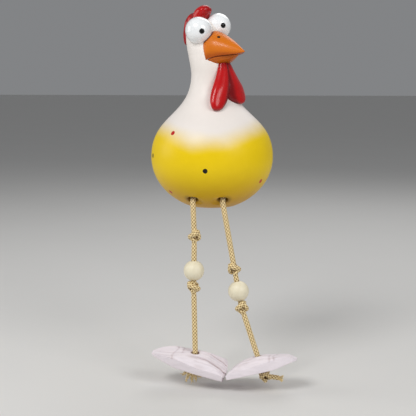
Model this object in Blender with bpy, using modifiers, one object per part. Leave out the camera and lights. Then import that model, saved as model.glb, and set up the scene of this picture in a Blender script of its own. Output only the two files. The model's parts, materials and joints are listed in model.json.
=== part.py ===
"""Shelf-sitter chicken: a hollow cast figure with rope legs, wooden beads and cast feet.

Metres, +Z up. The origin is the centre of the flat underside that the figure sits on, and
the legs hang below it. The body faces -Y, so the figure's own right side is -X.
"""
import math

import bmesh
import bpy
from mathutils import Matrix, Vector
from mathutils.geometry import interpolate_bezier

GAP = 0.0003                # left between pieces that touch

# Hollow body, neck and head
SEAT_R = 0.0200             # flat ring that the figure sits on
BELLY_R = 0.0536
BELLY_Z = 0.0430
BELLY_HANDLE = 0.0380       # how long the belly stays wide on its way up
NECK_R = 0.0168
NECK_Z = 0.1160
NECK_HANDLE = 0.0370        # how far down the neck stays narrow
CHEEK_R = 0.0190            # handle of the head's side
CHEEK_RISE = 0.0240
CROWN_R = 0.0145            # handle of the head's top
CROWN_Z = 0.1632
FACE_CROWN_Z = 0.1632       # crown height that the heights of the face and comb are measured with
WALL = 0.0045
FLOOR = 0.0042
NECK_CORE = 0.0060          # how far the hollow reaches above the narrowest neck
POUR_HOLE_R = 0.0085
TURNS = 40                  # facets round the body

# How the head leans away from a turned shape
HEAD_TURN = math.radians(55.5)
HEAD_LEAN = 0.0100
HEAD_STRETCH = 0.25
HEAD_ROLL = math.radians(11.0)
NECK_DRIFT = -0.0014        # sideways, from the belly to the neck
DRIFT_FROM_Z = 0.060

# Holes that the leg ropes come out of
ROPE_R = 0.0024             # leg rope
HOLE_CLEARANCE = 0.0010     # round the rope, in the body
BORE_CLEARANCE = 0.0005     # round the rope, in a bead or a foot
HOLE_Z = 0.0080
HOLE_R = ROPE_R + HOLE_CLEARANCE
HOLE_RIM_R = HOLE_R + 0.0016
HOLE_RIM_DEPTH = 0.0018
HIP_OUT = 0.0012            # pivot of the rope, outside the hole's mouth

# Eyes
EYE_R = 0.0114
EYE_X = 0.0109
EYE_BACK = 0.0010
EYE_Z = 0.1544
PUPIL_R = 0.0020
PUPIL_DEPTH = 0.0012
PUPIL_DOME = 0.0004
RIGHT_GAZE = (math.radians(-43.5), math.radians(-6.0))
LEFT_GAZE = (math.radians(-24.8), math.radians(2.0))

# Beak, in the head's frame, as distance ahead of the neck's axis and height
BEAK_START = 0.0010
BEAK_TIP = 0.0385
BEAK_HALF_WIDTH = 0.0150
BEAK_WIDEST = 0.0060
RIDGE = ((0.0010, 0.1535), (0.0140, 0.1515), (0.0265, 0.1430), (0.0385, 0.1345))
MOUTH = ((0.0010, 0.1225), (0.0160, 0.1345), (0.0280, 0.1290), (0.0385, 0.1337))
LOWER_TIP = 0.0320
LOWER_DEPTH = 0.0062
LOWER_CHIN = 0.0150
LOWER_WIDTH_SHARE = 0.94

# Comb: outline in the head's middle plane, as distance behind the neck and height
COMB_THICKNESS = 0.0080
COMB_ROUND = 0.0024
COMB_OUTLINE = (
    (0.0080, 0.1590), (0.0058, 0.1622), (0.0030, 0.1662), (0.0014, 0.1700), (0.0024, 0.1730),
    (0.0058, 0.1745), (0.0100, 0.1742), (0.0145, 0.1718), (0.0178, 0.1686), (0.0215, 0.1684),
    (0.0252, 0.1655), (0.0280, 0.1600), (0.0294, 0.1530), (0.0292, 0.1465), (0.0276, 0.1415),
    (0.0235, 0.1430), (0.0165, 0.1530), (0.0110, 0.1570),
)

# Wattles: centre ahead and aside, height, half width and half thickness down one lobe
WATTLE_ROWS = (
    (0.0165, 0.0024, 0.1240, 0.0022, 0.0022), (0.0185, 0.0040, 0.1180, 0.0040, 0.0034),
    (0.0200, 0.0062, 0.1110, 0.0066, 0.0046), (0.0212, 0.0082, 0.1040, 0.0088, 0.0052),
    (0.0218, 0.0094, 0.0975, 0.0096, 0.0052), (0.0228, 0.0104, 0.0925, 0.0086, 0.0046),
    (0.0238, 0.0112, 0.0888, 0.0056, 0.0034), (0.0242, 0.0116, 0.0870, 0.0018, 0.0012),
)
RIGHT_CURL = (0.0046, 0.0034)   # how far the lobe's tip swings out and drops
LEFT_CURL = (-0.0006, -0.0020)

# Knots and bead of the leg rope
ROPE_SIDES = 2              # bevel resolution of the rope's tube
KNOT_R = 0.0063
KNOT_HALF = 0.0054
END_KNOT_R = 0.0056
END_KNOT_HALF = 0.0046
STOP_KNOT_R = 0.0060
BEAD_R = 0.0088
BEAD_BORE_R = ROPE_R + BORE_CLEARANCE
TAIL_FLARE = 1.7

# Foot: the local X axis runs from the heel to the toes
FOOT_THICKNESS = 0.0130
FOOT_BORE_R = ROPE_R + BORE_CLEARANCE
FOOT_RIM_R = FOOT_BORE_R + 0.0015
FOOT_RIM_DEPTH = 0.0020
FOOT_HALF_WIDTH = 0.0165
FOOT_EDGE = 0.0040          # thickness along the sides
FOOT_BEVEL = 0.0007

# Each leg: where its knots and ankle hang, measured from its hip pivot
LEGS = {
    "right": {
        "side": -1, "hole_x": 0.0123,
        "route": ((0.0019, -0.0047, -0.0289), (0.0022, -0.0110, -0.0720), (0.0046, -0.0192, -0.1266)),
        "toes_down": math.radians(11.0), "front_down": math.radians(8.0),
        "foot_yaw": math.radians(-2.0), "heel": 0.0366, "reach": 0.0300,
        "tail": ((0.0024, -0.0010, -0.0046), (0.0044, -0.0020, -0.0086)),
    },
    "left": {
        "side": 1, "hole_x": 0.0133,
        "route": ((0.0112, -0.0092, -0.0557), (0.0180, -0.0142, -0.0878), (0.0322, -0.0200, -0.1278)),
        "toes_down": math.radians(14.0), "front_down": math.radians(-9.0),
        "foot_yaw": math.radians(180.0), "heel": 0.0322, "reach": 0.0290,
        "tail": ((0.0054, -0.0016, -0.0008), (0.0150, -0.0030, -0.0024)),
    },
}

COLOURS = {
    "painted_yellow": ((0.90, 0.62, 0.03), 0.30), "cork": ((0.42, 0.28, 0.15), 0.90),
    "painted_red": ((0.55, 0.02, 0.03), 0.20), "eye_white": ((0.88, 0.88, 0.88), 0.25),
    "pupil_black": ((0.02, 0.02, 0.02), 0.20), "painted_orange": ((0.85, 0.33, 0.03), 0.30),
    "rope": ((0.78, 0.68, 0.47), 0.55),
    "bead_wood": ((0.86, 0.80, 0.66), 0.45), "foot_paint": ((0.80, 0.70, 0.72), 0.50),
}


def clear_scene():
    """Remove every object that is already there."""
    for obj in list(bpy.data.objects):
        bpy.data.objects.remove(obj, do_unlink=True)


def make_collection(name):
    """Add one collection under the scene."""
    collection = bpy.data.collections.new(name)
    bpy.context.scene.collection.children.link(collection)
    return collection


def make_material(name):
    """Principled material with the finish named in COLOURS."""
    colour, roughness = COLOURS[name]
    material = bpy.data.materials.get(name) or bpy.data.materials.new(name)
    material.use_nodes = True
    shader = material.node_tree.nodes["Principled BSDF"]
    shader.inputs["Base Color"].default_value = (*colour, 1.0)
    shader.inputs["Roughness"].default_value = roughness
    shader.inputs["Metallic"].default_value = 0.0
    material.diffuse_color = (*colour, 1.0)
    return material


def smoothstep(low, high, value):
    """0 below low, 1 above high, and smooth between."""
    share = min(max((value - low) / (high - low), 0.0), 1.0)
    return share * share * (3.0 - 2.0 * share)


def bezier(points, count):
    """Points along a cubic curve given by its two ends and two handles, as (x, z) pairs."""
    handles = [Vector((x, 0.0, z)) for x, z in points]
    return [(point.x, point.z) for point in interpolate_bezier(*handles, count)]


# ---------------------------------------------------------------- mesh tools

def add_mesh(name, mesh, collection, material=None):
    """Put a mesh in the scene as a named object."""
    obj = bpy.data.objects.new(name, mesh)
    mesh.name = name
    if material:
        mesh.materials.clear()
        mesh.materials.append(make_material(material))
    collection.objects.link(obj)
    return obj


def point_outward(bm):
    """Make a closed surface's faces agree, and turn them all if they enclose less than nothing."""
    bmesh.ops.recalc_face_normals(bm, faces=bm.faces)
    if bm.calc_volume(signed=True) < 0.0:
        bmesh.ops.reverse_faces(bm, faces=bm.faces)


def mesh_from_bmesh(name, bm):
    """Close a bmesh into a mesh with its faces pointing out."""
    point_outward(bm)
    mesh = bpy.data.meshes.new(name)
    bm.to_mesh(mesh)
    bm.free()
    return mesh


def freeze(obj):
    """Replace a curve or a modified object by its evaluated mesh, with loose caps welded."""
    bpy.context.view_layer.update()
    graph = bpy.context.evaluated_depsgraph_get()
    mesh = bpy.data.meshes.new_from_object(obj.evaluated_get(graph))
    bm = bmesh.new()
    bm.from_mesh(mesh)
    bmesh.ops.remove_doubles(bm, verts=bm.verts, dist=0.00001)
    point_outward(bm)
    bm.to_mesh(mesh)
    bm.free()
    new = bpy.data.objects.new(obj.name, mesh)
    new.matrix_world = obj.matrix_world.copy()
    obj.users_collection[0].objects.link(new)
    name = obj.name
    bpy.data.objects.remove(obj, do_unlink=True)
    new.name = name
    return new


def smooth(obj, angle=math.radians(40)):
    """Shade smooth, but keep edges sharper than the angle."""
    obj.data.shade_smooth()
    obj.data.set_sharp_from_angle(angle=angle)


def make_cutter(obj):
    """Hide an object that only cuts others."""
    obj.hide_render = True
    obj.display_type = "WIRE"
    return obj


def boolean(obj, cutter, operation="DIFFERENCE"):
    """Cut, join or intersect an object with another."""
    modifier = obj.modifiers.new(cutter.name, "BOOLEAN")
    modifier.operation = operation
    modifier.solver = "EXACT"
    modifier.object = cutter


def turned(name, profile, steps, collection, material=None):
    """Solid of revolution about Z; the profile runs down its outer side first."""
    bm = bmesh.new()
    verts = [bm.verts.new((radius, 0.0, height)) for radius, height in profile]
    closed = profile[0][0] > 0.0
    pairs = zip(verts, verts[1:] + verts[:1] if closed else verts[1:])
    for first, second in pairs:
        bm.edges.new((first, second))
    mesh = bpy.data.meshes.new(name)
    bm.to_mesh(mesh)
    bm.free()
    obj = add_mesh(name, mesh, collection, material)
    screw = obj.modifiers.new("turn", "SCREW")
    screw.axis = "Z"
    screw.steps = steps
    screw.render_steps = steps
    screw.use_merge_vertices = True
    screw.merge_threshold = 0.00001
    return freeze(obj)


def cylinder(name, radius, depth, matrix, collection, top_radius=None, segments=24):
    """Closed cylinder or cone about its matrix's Z axis."""
    bm = bmesh.new()
    upper = radius if top_radius is None else top_radius
    bmesh.ops.create_cone(
        bm, cap_ends=True, segments=segments, radius1=radius, radius2=upper, depth=depth)
    bm.transform(matrix)
    return add_mesh(name, mesh_from_bmesh(name, bm), collection)


def ball(name, radii, matrix, collection, material=None, segments=(20, 12)):
    """Sphere stretched to three radii."""
    bm = bmesh.new()
    bmesh.ops.create_uvsphere(bm, u_segments=segments[0], v_segments=segments[1], radius=1.0)
    bm.transform(matrix @ Matrix.Diagonal((*radii, 1.0)))
    obj = add_mesh(name, mesh_from_bmesh(name, bm), collection, material)
    smooth(obj)
    return obj


def loft(name, rings, collection, material=None):
    """Skin of quads over rings of equally many points, closed at both ends."""
    bm = bmesh.new()
    rows = [[bm.verts.new(point) for point in ring] for ring in rings]
    count = len(rows[0])
    for upper, lower in zip(rows, rows[1:]):
        for index in range(count):
            after = (index + 1) % count
            bm.faces.new((upper[index], upper[after], lower[after], lower[index]))
    bm.faces.new(rows[0])
    bm.faces.new(rows[-1])
    obj = add_mesh(name, mesh_from_bmesh(name, bm), collection, material)
    smooth(obj)
    return obj


def prism(name, outline, thickness, matrix, collection):
    """Flat outline as a filled curve, thickened equally to both sides of its plane."""
    curve = bpy.data.curves.new(name, "CURVE")
    curve.dimensions = "2D"
    curve.fill_mode = "BOTH"
    curve.extrude = thickness / 2.0
    spline = curve.splines.new("POLY")
    spline.points.add(len(outline) - 1)
    for point, (x, y) in zip(spline.points, outline):
        point.co = (x, y, 0.0, 1.0)
    spline.use_cyclic_u = True
    obj = bpy.data.objects.new(name, curve)
    collection.objects.link(obj)
    obj.matrix_world = matrix
    return freeze(obj)


def tube(name, points, radii, collection, material, resolution=ROPE_SIDES):
    """Closed tube along points, with its own radius at each."""
    curve = bpy.data.curves.new(name, "CURVE")
    curve.dimensions = "3D"
    curve.bevel_depth = 1.0
    curve.bevel_resolution = resolution
    curve.use_fill_caps = True
    spline = curve.splines.new("POLY")
    spline.points.add(len(points) - 1)
    for point, place, radius in zip(spline.points, points, radii):
        point.co = (*place, 1.0)
        point.radius = radius
    obj = bpy.data.objects.new(name, curve)
    collection.objects.link(obj)
    obj = freeze(obj)
    obj.data.name = name
    obj.data.materials.append(make_material(material))
    smooth(obj)
    return obj


def set_origin(obj, point):
    """Move an object's origin to a world point and leave its shape in place."""
    bpy.context.view_layer.update()
    shift = obj.matrix_world.inverted() @ Vector(point)
    obj.data.transform(Matrix.Translation(-shift))
    obj.matrix_world = obj.matrix_world @ Matrix.Translation(shift)


def make_pivot(name, matrix, collection, parent=None):
    """Empty on a joint, hanging from another one."""
    pivot = bpy.data.objects.new(name, None)
    pivot.empty_display_size = 0.006
    collection.objects.link(pivot)
    pivot.matrix_world = matrix
    bpy.context.view_layer.update()
    if parent:
        hang(pivot, parent)
    return pivot


def hang(obj, parent):
    """Parent an object and keep it where it is."""
    bpy.context.view_layer.update()
    obj.parent = parent
    obj.matrix_parent_inverse = parent.matrix_world.inverted()
    bpy.context.view_layer.update()


def along_z(direction, origin):
    """Frame at origin whose Z axis runs along direction."""
    turn = Vector(direction).to_track_quat("Z", "Y").to_matrix().to_4x4()
    return Matrix.Translation(Vector(origin)) @ turn


# ---------------------------------------------------------------- body

def belly_drop(inset=0.0):
    """Half height of the ellipse that rounds the body's lower half."""
    return BELLY_Z / math.sqrt(1.0 - (SEAT_R / BELLY_R) ** 2) - inset


def belly_radius(height, inset=0.0):
    """Radius of the body's lower half at a height."""
    share = (BELLY_Z - height) / belly_drop(inset)
    return (BELLY_R - inset) * math.sqrt(1.0 - share * share)


def lower_profile(bottom, inset, count):
    """Belly from its widest ring down to the height of bottom."""
    reach = math.asin((BELLY_Z - bottom) / belly_drop(inset))
    points = []
    for index in range(1, count + 1):
        angle = reach * index / count
        height = BELLY_Z - belly_drop(inset) * math.sin(angle)
        points.append(((BELLY_R - inset) * math.cos(angle), height))
    return points


def flank_profile(inset, count):
    """Neck down to the belly's widest ring."""
    return bezier(((NECK_R - inset, NECK_Z), (NECK_R - inset, NECK_Z - NECK_HANDLE),
                   (BELLY_R - inset, BELLY_Z + BELLY_HANDLE), (BELLY_R - inset, BELLY_Z)), count)


def outer_profile(grow=0.0):
    """Outside of the body from the crown to the seat."""
    head = bezier(((0.0, CROWN_Z + grow), (CROWN_R + grow, CROWN_Z + grow),
                   (CHEEK_R + grow, NECK_Z + CHEEK_RISE), (NECK_R + grow, NECK_Z)), 9)
    return head[:-1] + flank_profile(-grow, 11) + lower_profile(0.0, -grow, 8)


def inner_profile():
    """Inside of the shell, from the pour hole's rim up to the top of the hollow."""
    lower = lower_profile(FLOOR, WALL, 6)
    top = [(0.0, NECK_Z + NECK_CORE), ((NECK_R - WALL) * 0.6, NECK_Z + NECK_CORE * 0.8)]
    down = top + flank_profile(WALL, 8) + lower
    return [(POUR_HOLE_R, 0.0), (POUR_HOLE_R, FLOOR)] + down[::-1]


def lean_head(obj):
    """Stretch the head ahead and behind, lean it back and let the neck drift aside."""
    facing = Vector((math.sin(HEAD_TURN), -math.cos(HEAD_TURN), 0.0))
    for vertex in obj.data.vertices:
        place = vertex.co
        rise = smoothstep(NECK_Z, CROWN_Z, place.z)
        share = max((place.z - NECK_Z) / (CROWN_Z - NECK_Z), 0.0)
        ahead = place.x * facing.x + place.y * facing.y
        drift = NECK_DRIFT * smoothstep(DRIFT_FROM_Z, NECK_Z, place.z)
        shift = ahead * HEAD_STRETCH * share * share - HEAD_LEAN * rise
        vertex.co = place + facing * shift + Vector((drift, 0.0, 0.0))


def head_frame():
    """Frame of the head: -Y ahead, +X to the figure's left, rising with the crown."""
    place = Matrix.Translation((NECK_DRIFT, 0.0, CROWN_Z - FACE_CROWN_Z))
    return place @ Matrix.Rotation(HEAD_TURN, 4, "Z")


def make_body(parts, cutters):
    """Hollow shell, the solid form that trims what sits on it, and the pour hole's plug."""
    shell = turned("body_shell", outer_profile() + inner_profile(), TURNS, parts, "painted_yellow")
    lean_head(shell)
    smooth(shell)
    form = turned("head_form", outer_profile(GAP) + [(0.0, 0.0)], TURNS, cutters)
    lean_head(form)
    make_cutter(form)
    plug_r = POUR_HOLE_R - GAP
    plug = turned("base_plug", [(0.0, FLOOR), (plug_r, FLOOR), (plug_r, 0.0), (0.0, 0.0)],
                  28, parts, "cork")
    smooth(plug)
    return shell, form


def hole_frame(leg):
    """Frame on the body's surface at a rope hole, with Z pointing out of the hole."""
    radius = belly_radius(HOLE_Z)
    across = leg["side"] * leg["hole_x"]
    back = math.sqrt(radius * radius - across * across)
    rise = (HOLE_Z - BELLY_Z) / belly_drop() ** 2
    spread = 1.0 / BELLY_R ** 2
    normal = Vector((0.0, -back * spread, rise)).normalized()
    return along_z(normal, (across, -back, HOLE_Z))


def cut_rope_holes(shell, cutters):
    """Drill and countersink the two holes."""
    for name, leg in LEGS.items():
        frame = hole_frame(leg)
        drill = cylinder("drill_" + name, HOLE_R, 0.030, frame, cutters)
        sink = cylinder(
            "sink_" + name, HOLE_R, 2 * HOLE_RIM_DEPTH, frame, cutters,
            top_radius=2 * HOLE_RIM_R - HOLE_R)
        boolean(shell, make_cutter(drill))
        boolean(shell, make_cutter(sink))


# ---------------------------------------------------------------- face

def eye_place(side):
    """Centre of an eye in the head's frame; the head's roll lifts the left one."""
    lift = side * EYE_X * math.sin(HEAD_ROLL)
    return Vector((side * EYE_X, EYE_BACK, EYE_Z + lift))


def gaze(angles):
    """Unit vector at a turn and a rise, from straight ahead."""
    turn, rise = angles
    return Vector((math.sin(turn) * math.cos(rise), -math.cos(turn) * math.cos(rise),
                   math.sin(rise)))


def make_eye(name, side, angles, pivot, parts, cutters):
    """One eyeball with a shallow pocket, and the pupil set in it."""
    frame = head_frame()
    centre = frame @ eye_place(side)
    look = (frame.to_3x3() @ gaze(angles)).normalized()
    eye = ball("eye_" + name, (EYE_R,) * 3, along_z(look, centre), parts, "eye_white", (24, 16))
    rim = centre + look * EYE_R
    pocket = cylinder("pocket_" + name, PUPIL_R + GAP, 2 * PUPIL_DEPTH + 2 * GAP,
                      along_z(look, rim), cutters)
    boolean(eye, make_cutter(pocket))
    dome = [(0.0, PUPIL_DOME), (PUPIL_R * 0.7, PUPIL_DOME * 0.5), (PUPIL_R, -PUPIL_DOME),
            (PUPIL_R, -PUPIL_DEPTH), (0.0, -PUPIL_DEPTH)]
    pupil = turned("pupil_" + name, dome, 20, parts, "pupil_black")
    pupil.data.transform(along_z(look, rim))
    smooth(pupil)
    socket = ball("socket_" + name, (EYE_R + GAP,) * 3, along_z(look, centre), cutters,
                  segments=(24, 16))
    for obj in (eye, pupil):
        hang(obj, pivot)
    return eye, make_cutter(socket)


def height_along(curve, ahead):
    """Height of a side-view curve at a distance ahead of the neck's axis."""
    points = bezier(curve, 40)
    for (x0, z0), (x1, z1) in zip(points, points[1:]):
        if ahead <= x1:
            return z0 + (z1 - z0) * (ahead - x0) / (x1 - x0)
    return points[-1][1]


def beak_width(ahead):
    """Half width of the beak, widest near its root."""
    share = max((ahead - BEAK_WIDEST) / (BEAK_TIP - BEAK_WIDEST), 0.0)
    return max(BEAK_HALF_WIDTH * (1.0 - share ** 1.5), 0.0004)


def upper_beak_rings(frame):
    """Arched sections from the root to the tip."""
    rings = []
    for index in range(13):
        ahead = BEAK_START + (BEAK_TIP - BEAK_START) * index / 12
        low = height_along(MOUTH, ahead) + GAP / 2
        top = max(height_along(RIDGE, ahead), low + 0.0006)
        width = beak_width(ahead)
        ring = []
        for step in range(13):
            angle = math.pi * step / 12
            across = width * math.cos(angle) * (1.0 + 0.10 * math.sin(2 * angle) ** 2)
            height = low + (top - low) * math.sin(angle) ** 0.85
            ring.append(frame @ Vector((across, -ahead, height)))
        rings.append(ring)
    return rings


def lower_beak_rings(frame, grow=0.0):
    """Trough-shaped sections under the mouth line, deepest at the chin."""
    rings = []
    for index in range(9):
        ahead = BEAK_START + (LOWER_TIP - BEAK_START) * index / 8
        top = height_along(MOUTH, ahead) - GAP / 2
        taper = 1.0 - max((ahead - LOWER_CHIN) / (LOWER_TIP - LOWER_CHIN), 0.0) ** 1.6
        depth = max(LOWER_DEPTH * taper, 0.0003) + grow
        width = max(beak_width(ahead) * LOWER_WIDTH_SHARE * (0.35 + 0.65 * taper), 0.0004) + grow
        ring = []
        for step in range(11):
            angle = math.pi + math.pi * step / 10
            height = top + depth * math.sin(angle)
            ring.append(frame @ Vector((width * math.cos(angle), -ahead, height)))
        rings.append(ring)
    return rings


def make_comb(parts):
    """Rounded plate in the head's middle plane, with two lobes and a strip down the back."""
    stand = Matrix(((0, 0, 1, 0), (1, 0, 0, 0), (0, 1, 0, 0), (0, 0, 0, 1)))
    comb = prism("comb", COMB_OUTLINE, COMB_THICKNESS, Matrix.Identity(4), parts)
    bevel = comb.modifiers.new("round_edges", "BEVEL")
    bevel.width = COMB_ROUND
    bevel.segments = 2
    bevel.limit_method = "ANGLE"
    bevel.angle_limit = math.radians(75)
    comb = freeze(comb)
    comb.matrix_world = head_frame() @ stand
    comb.data.materials.append(make_material("painted_red"))
    smooth(comb)
    return comb


def make_wattle(name, side, curl, parts):
    """One hanging lobe: flattened oval sections down a line that spreads outward."""
    frame = head_frame()
    rings = []
    for row, (ahead, aside, height, half_width, half_thick) in enumerate(WATTLE_ROWS):
        bend = (row / (len(WATTLE_ROWS) - 1)) ** 2
        aside += curl[0] * bend
        height -= curl[1] * bend
        ring = []
        for step in range(14):
            angle = 2 * math.pi * step / 14
            across = side * aside + half_width * math.cos(angle)
            deep = -ahead - half_thick * math.sin(angle)
            ring.append(frame @ Vector((across, deep, height)))
        rings.append(ring)
    return loft("wattle_" + name, rings, parts, "painted_red")


def half_space(name, side, cutters):
    """Block that fills one side of the head's middle plane, and half the gap beyond it."""
    near, far = -side * GAP / 2, side * 0.05
    outline = ((near, -0.05), (far, -0.05), (far, 0.05), (near, 0.05))
    place = head_frame() @ Matrix.Translation((0.0, 0.0, CROWN_Z / 2))
    return make_cutter(prism(name, outline, 2 * CROWN_Z, place, cutters))


def make_face(form, shell, parts, cutters):
    """Everything that is set on the head, each piece trimmed by what it sits against."""
    pivot = make_pivot("head_turn", head_frame(), parts)
    right_eye, right_socket = make_eye("right", -1, RIGHT_GAZE, pivot, parts, cutters)
    left_eye, left_socket = make_eye("left", 1, LEFT_GAZE, pivot, parts, cutters)
    eyes = [right_eye, left_eye]
    sockets = [right_socket, left_socket]
    upper = loft("beak_upper", upper_beak_rings(head_frame()), parts, "painted_orange")
    lower = loft("beak_lower", lower_beak_rings(head_frame()), parts, "painted_orange")
    comb = make_comb(parts)
    wattles = [make_wattle("right", -1, RIGHT_CURL, parts), make_wattle("left", 1, LEFT_CURL, parts)]
    middles = [half_space("right_of_middle", 1, cutters), half_space("left_of_middle", -1, cutters)]
    chin = loft("chin_form", lower_beak_rings(head_frame(), GAP), cutters)
    make_cutter(chin)
    for obj in (upper, lower, comb):
        boolean(obj, form)
        for socket in sockets:
            boolean(obj, socket)
    for obj in wattles:
        boolean(obj, form)
        boolean(obj, chin)
    for pair in (wattles, eyes):
        for obj, middle in zip(pair, middles):
            boolean(obj, middle)
    for socket in sockets:
        boolean(shell, socket)
    for obj in [upper, lower, comb] + wattles:
        hang(obj, pivot)


# ---------------------------------------------------------------- legs

def stretch(name, start, end, round_start, parts):
    """Straight length of rope; a rounded start lets it turn against what it leaves."""
    start, end = Vector(start), Vector(end)
    line = end - start
    direction = line.normalized()
    points, radii = [], []
    if round_start:
        for step in range(4):
            angle = math.pi / 2 * step / 4
            points.append(start - direction * ROPE_R * math.cos(angle))
            radii.append(max(ROPE_R * math.sin(angle), 0.0002))
    count = max(int(line.length / (5 * ROPE_R)), 1)
    for step in range(count + 1):
        points.append(start + line * step / count)
        radii.append(ROPE_R)
    return tube(name, points, radii, parts, "rope")


def knot(name, centre, direction, radius, half, parts):
    """Rounded lump of a tightened overhand knot."""
    obj = ball(name, (radius, radius, half), along_z(direction, centre), parts, "rope", (14, 9))
    set_origin(obj, centre)
    return obj


def make_bead(name, centre, direction, parts):
    """Round wooden bead with a bore for the rope."""
    reach = math.acos(BEAD_BORE_R / BEAD_R)
    profile = []
    for step in range(11):
        angle = reach - 2 * reach * step / 10
        profile.append((BEAD_R * math.cos(angle), BEAD_R * math.sin(angle)))
    bead = turned(name, profile, 24, parts, "bead_wood")
    bead.data.transform(along_z(direction, centre))
    set_origin(bead, centre)
    smooth(bead)
    return bead


def foot_plan(leg):
    """Outline from above: narrow heel, three toes, and a back corner that clears the other foot."""
    heel, reach, front = leg["heel"], leg["reach"], leg["side"]
    sides = [(-heel, 0.0035), (-heel * 0.90, 0.0075), (-heel * 0.45, 0.0125)]
    sides.append((reach * 0.20, FOOT_HALF_WIDTH * 0.95))
    toe = [(0.86, 0.40), (1.00, 0.30), (1.00, 0.10)]
    front_toes = [(0.80, 1.00), (0.95, 0.93), (0.99, 0.66)] + toe
    back_toes = [(0.80, 1.00), (0.89, 0.80), (0.95, 0.52)] + toe
    front_half = sides + [(reach * x, FOOT_HALF_WIDTH * y) for x, y in front_toes]
    back_half = sides + [(reach * x, FOOT_HALF_WIDTH * y) for x, y in back_toes]
    outline = [(x, y * front) for x, y in front_half]
    outline += [(x, -y * front) for x, y in back_half[::-1]]
    return outline if front > 0 else outline[::-1]


def foot_side(heel, reach):
    """Outline from the side: low heel, hump over the bore, sloping toes."""
    top = FOOT_THICKNESS
    return [
        (-heel * 1.1, 0.0), (reach * 1.02, 0.0), (reach * 1.0, top * 0.20),
        (reach * 0.82, top * 0.50), (reach * 0.42, top * 0.88), (reach * 0.12, top),
        (-heel * 0.20, top), (-heel * 0.80, top * 0.66), (-heel * 1.0, top * 0.36),
        (-heel * 1.1, top * 0.28),
    ]


def foot_section():
    """Outline from the toes: domed top over thin sides."""
    top = FOOT_THICKNESS * 1.02
    half = [(FOOT_HALF_WIDTH * 1.1, -0.001), (FOOT_HALF_WIDTH * 1.1, FOOT_EDGE),
            (FOOT_HALF_WIDTH * 0.62, top * 0.78), (FOOT_HALF_WIDTH * 0.30, top)]
    return half + [(-x, y) for x, y in half[::-1]]


def make_foot(name, leg, ankle, parts, cutters):
    """Cast foot carved from three outlines, with a countersunk bore for the rope."""
    wide = 0.12
    upright = Matrix.Rotation(math.pi / 2, 4, "X")
    endwise = Matrix(((0, 0, 1, 0), (1, 0, 0, 0), (0, 1, 0, 0), (0, 0, 0, 1)))
    lift = Matrix.Translation((0, 0, FOOT_THICKNESS / 2))
    foot = prism("foot_" + name, foot_plan(leg), FOOT_THICKNESS * 1.2, lift, parts)
    profile = foot_side(leg["heel"], leg["reach"])
    side = make_cutter(prism("foot_side_" + name, profile, wide, upright, cutters))
    section = make_cutter(prism("foot_section_" + name, foot_section(), wide, endwise, cutters))
    boolean(foot, side, "INTERSECT")
    boolean(foot, section, "INTERSECT")
    foot = freeze(foot)
    bevel = foot.modifiers.new("soft_edges", "BEVEL")
    bevel.width = FOOT_BEVEL
    bevel.segments = 1
    bevel.limit_method = "ANGLE"
    bevel.angle_limit = math.radians(35)
    foot = freeze(foot)
    top = Matrix.Translation((0, 0, FOOT_THICKNESS))
    drill = cylinder("foot_drill_" + name, FOOT_BORE_R, 4 * FOOT_THICKNESS, top, cutters, segments=20)
    sink = cylinder("foot_sink_" + name, FOOT_BORE_R, 2 * FOOT_RIM_DEPTH, top, cutters,
                    top_radius=2 * FOOT_RIM_R - FOOT_BORE_R, segments=20)
    boolean(foot, make_cutter(drill))
    boolean(foot, make_cutter(sink))
    place = foot_frame(leg, ankle) @ Matrix.Translation((0, 0, -FOOT_THICKNESS))
    for obj in (foot, drill, sink):
        obj.matrix_world = place @ obj.matrix_world
    for obj in (side, section):
        bpy.data.objects.remove(obj, do_unlink=True)
    foot.data.materials.append(make_material("foot_paint"))
    return foot


def foot_frame(leg, ankle):
    """Frame at the mouth of the foot's bore: X to the toes, Z up along the bore."""
    tilt = Matrix.Rotation(-leg["side"] * leg["toes_down"], 4, "Y")
    roll = Matrix.Rotation(leg["front_down"], 4, "X")
    yaw = Matrix.Rotation(leg["foot_yaw"], 4, "Z")
    return Matrix.Translation(ankle) @ tilt @ roll @ yaw


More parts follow.
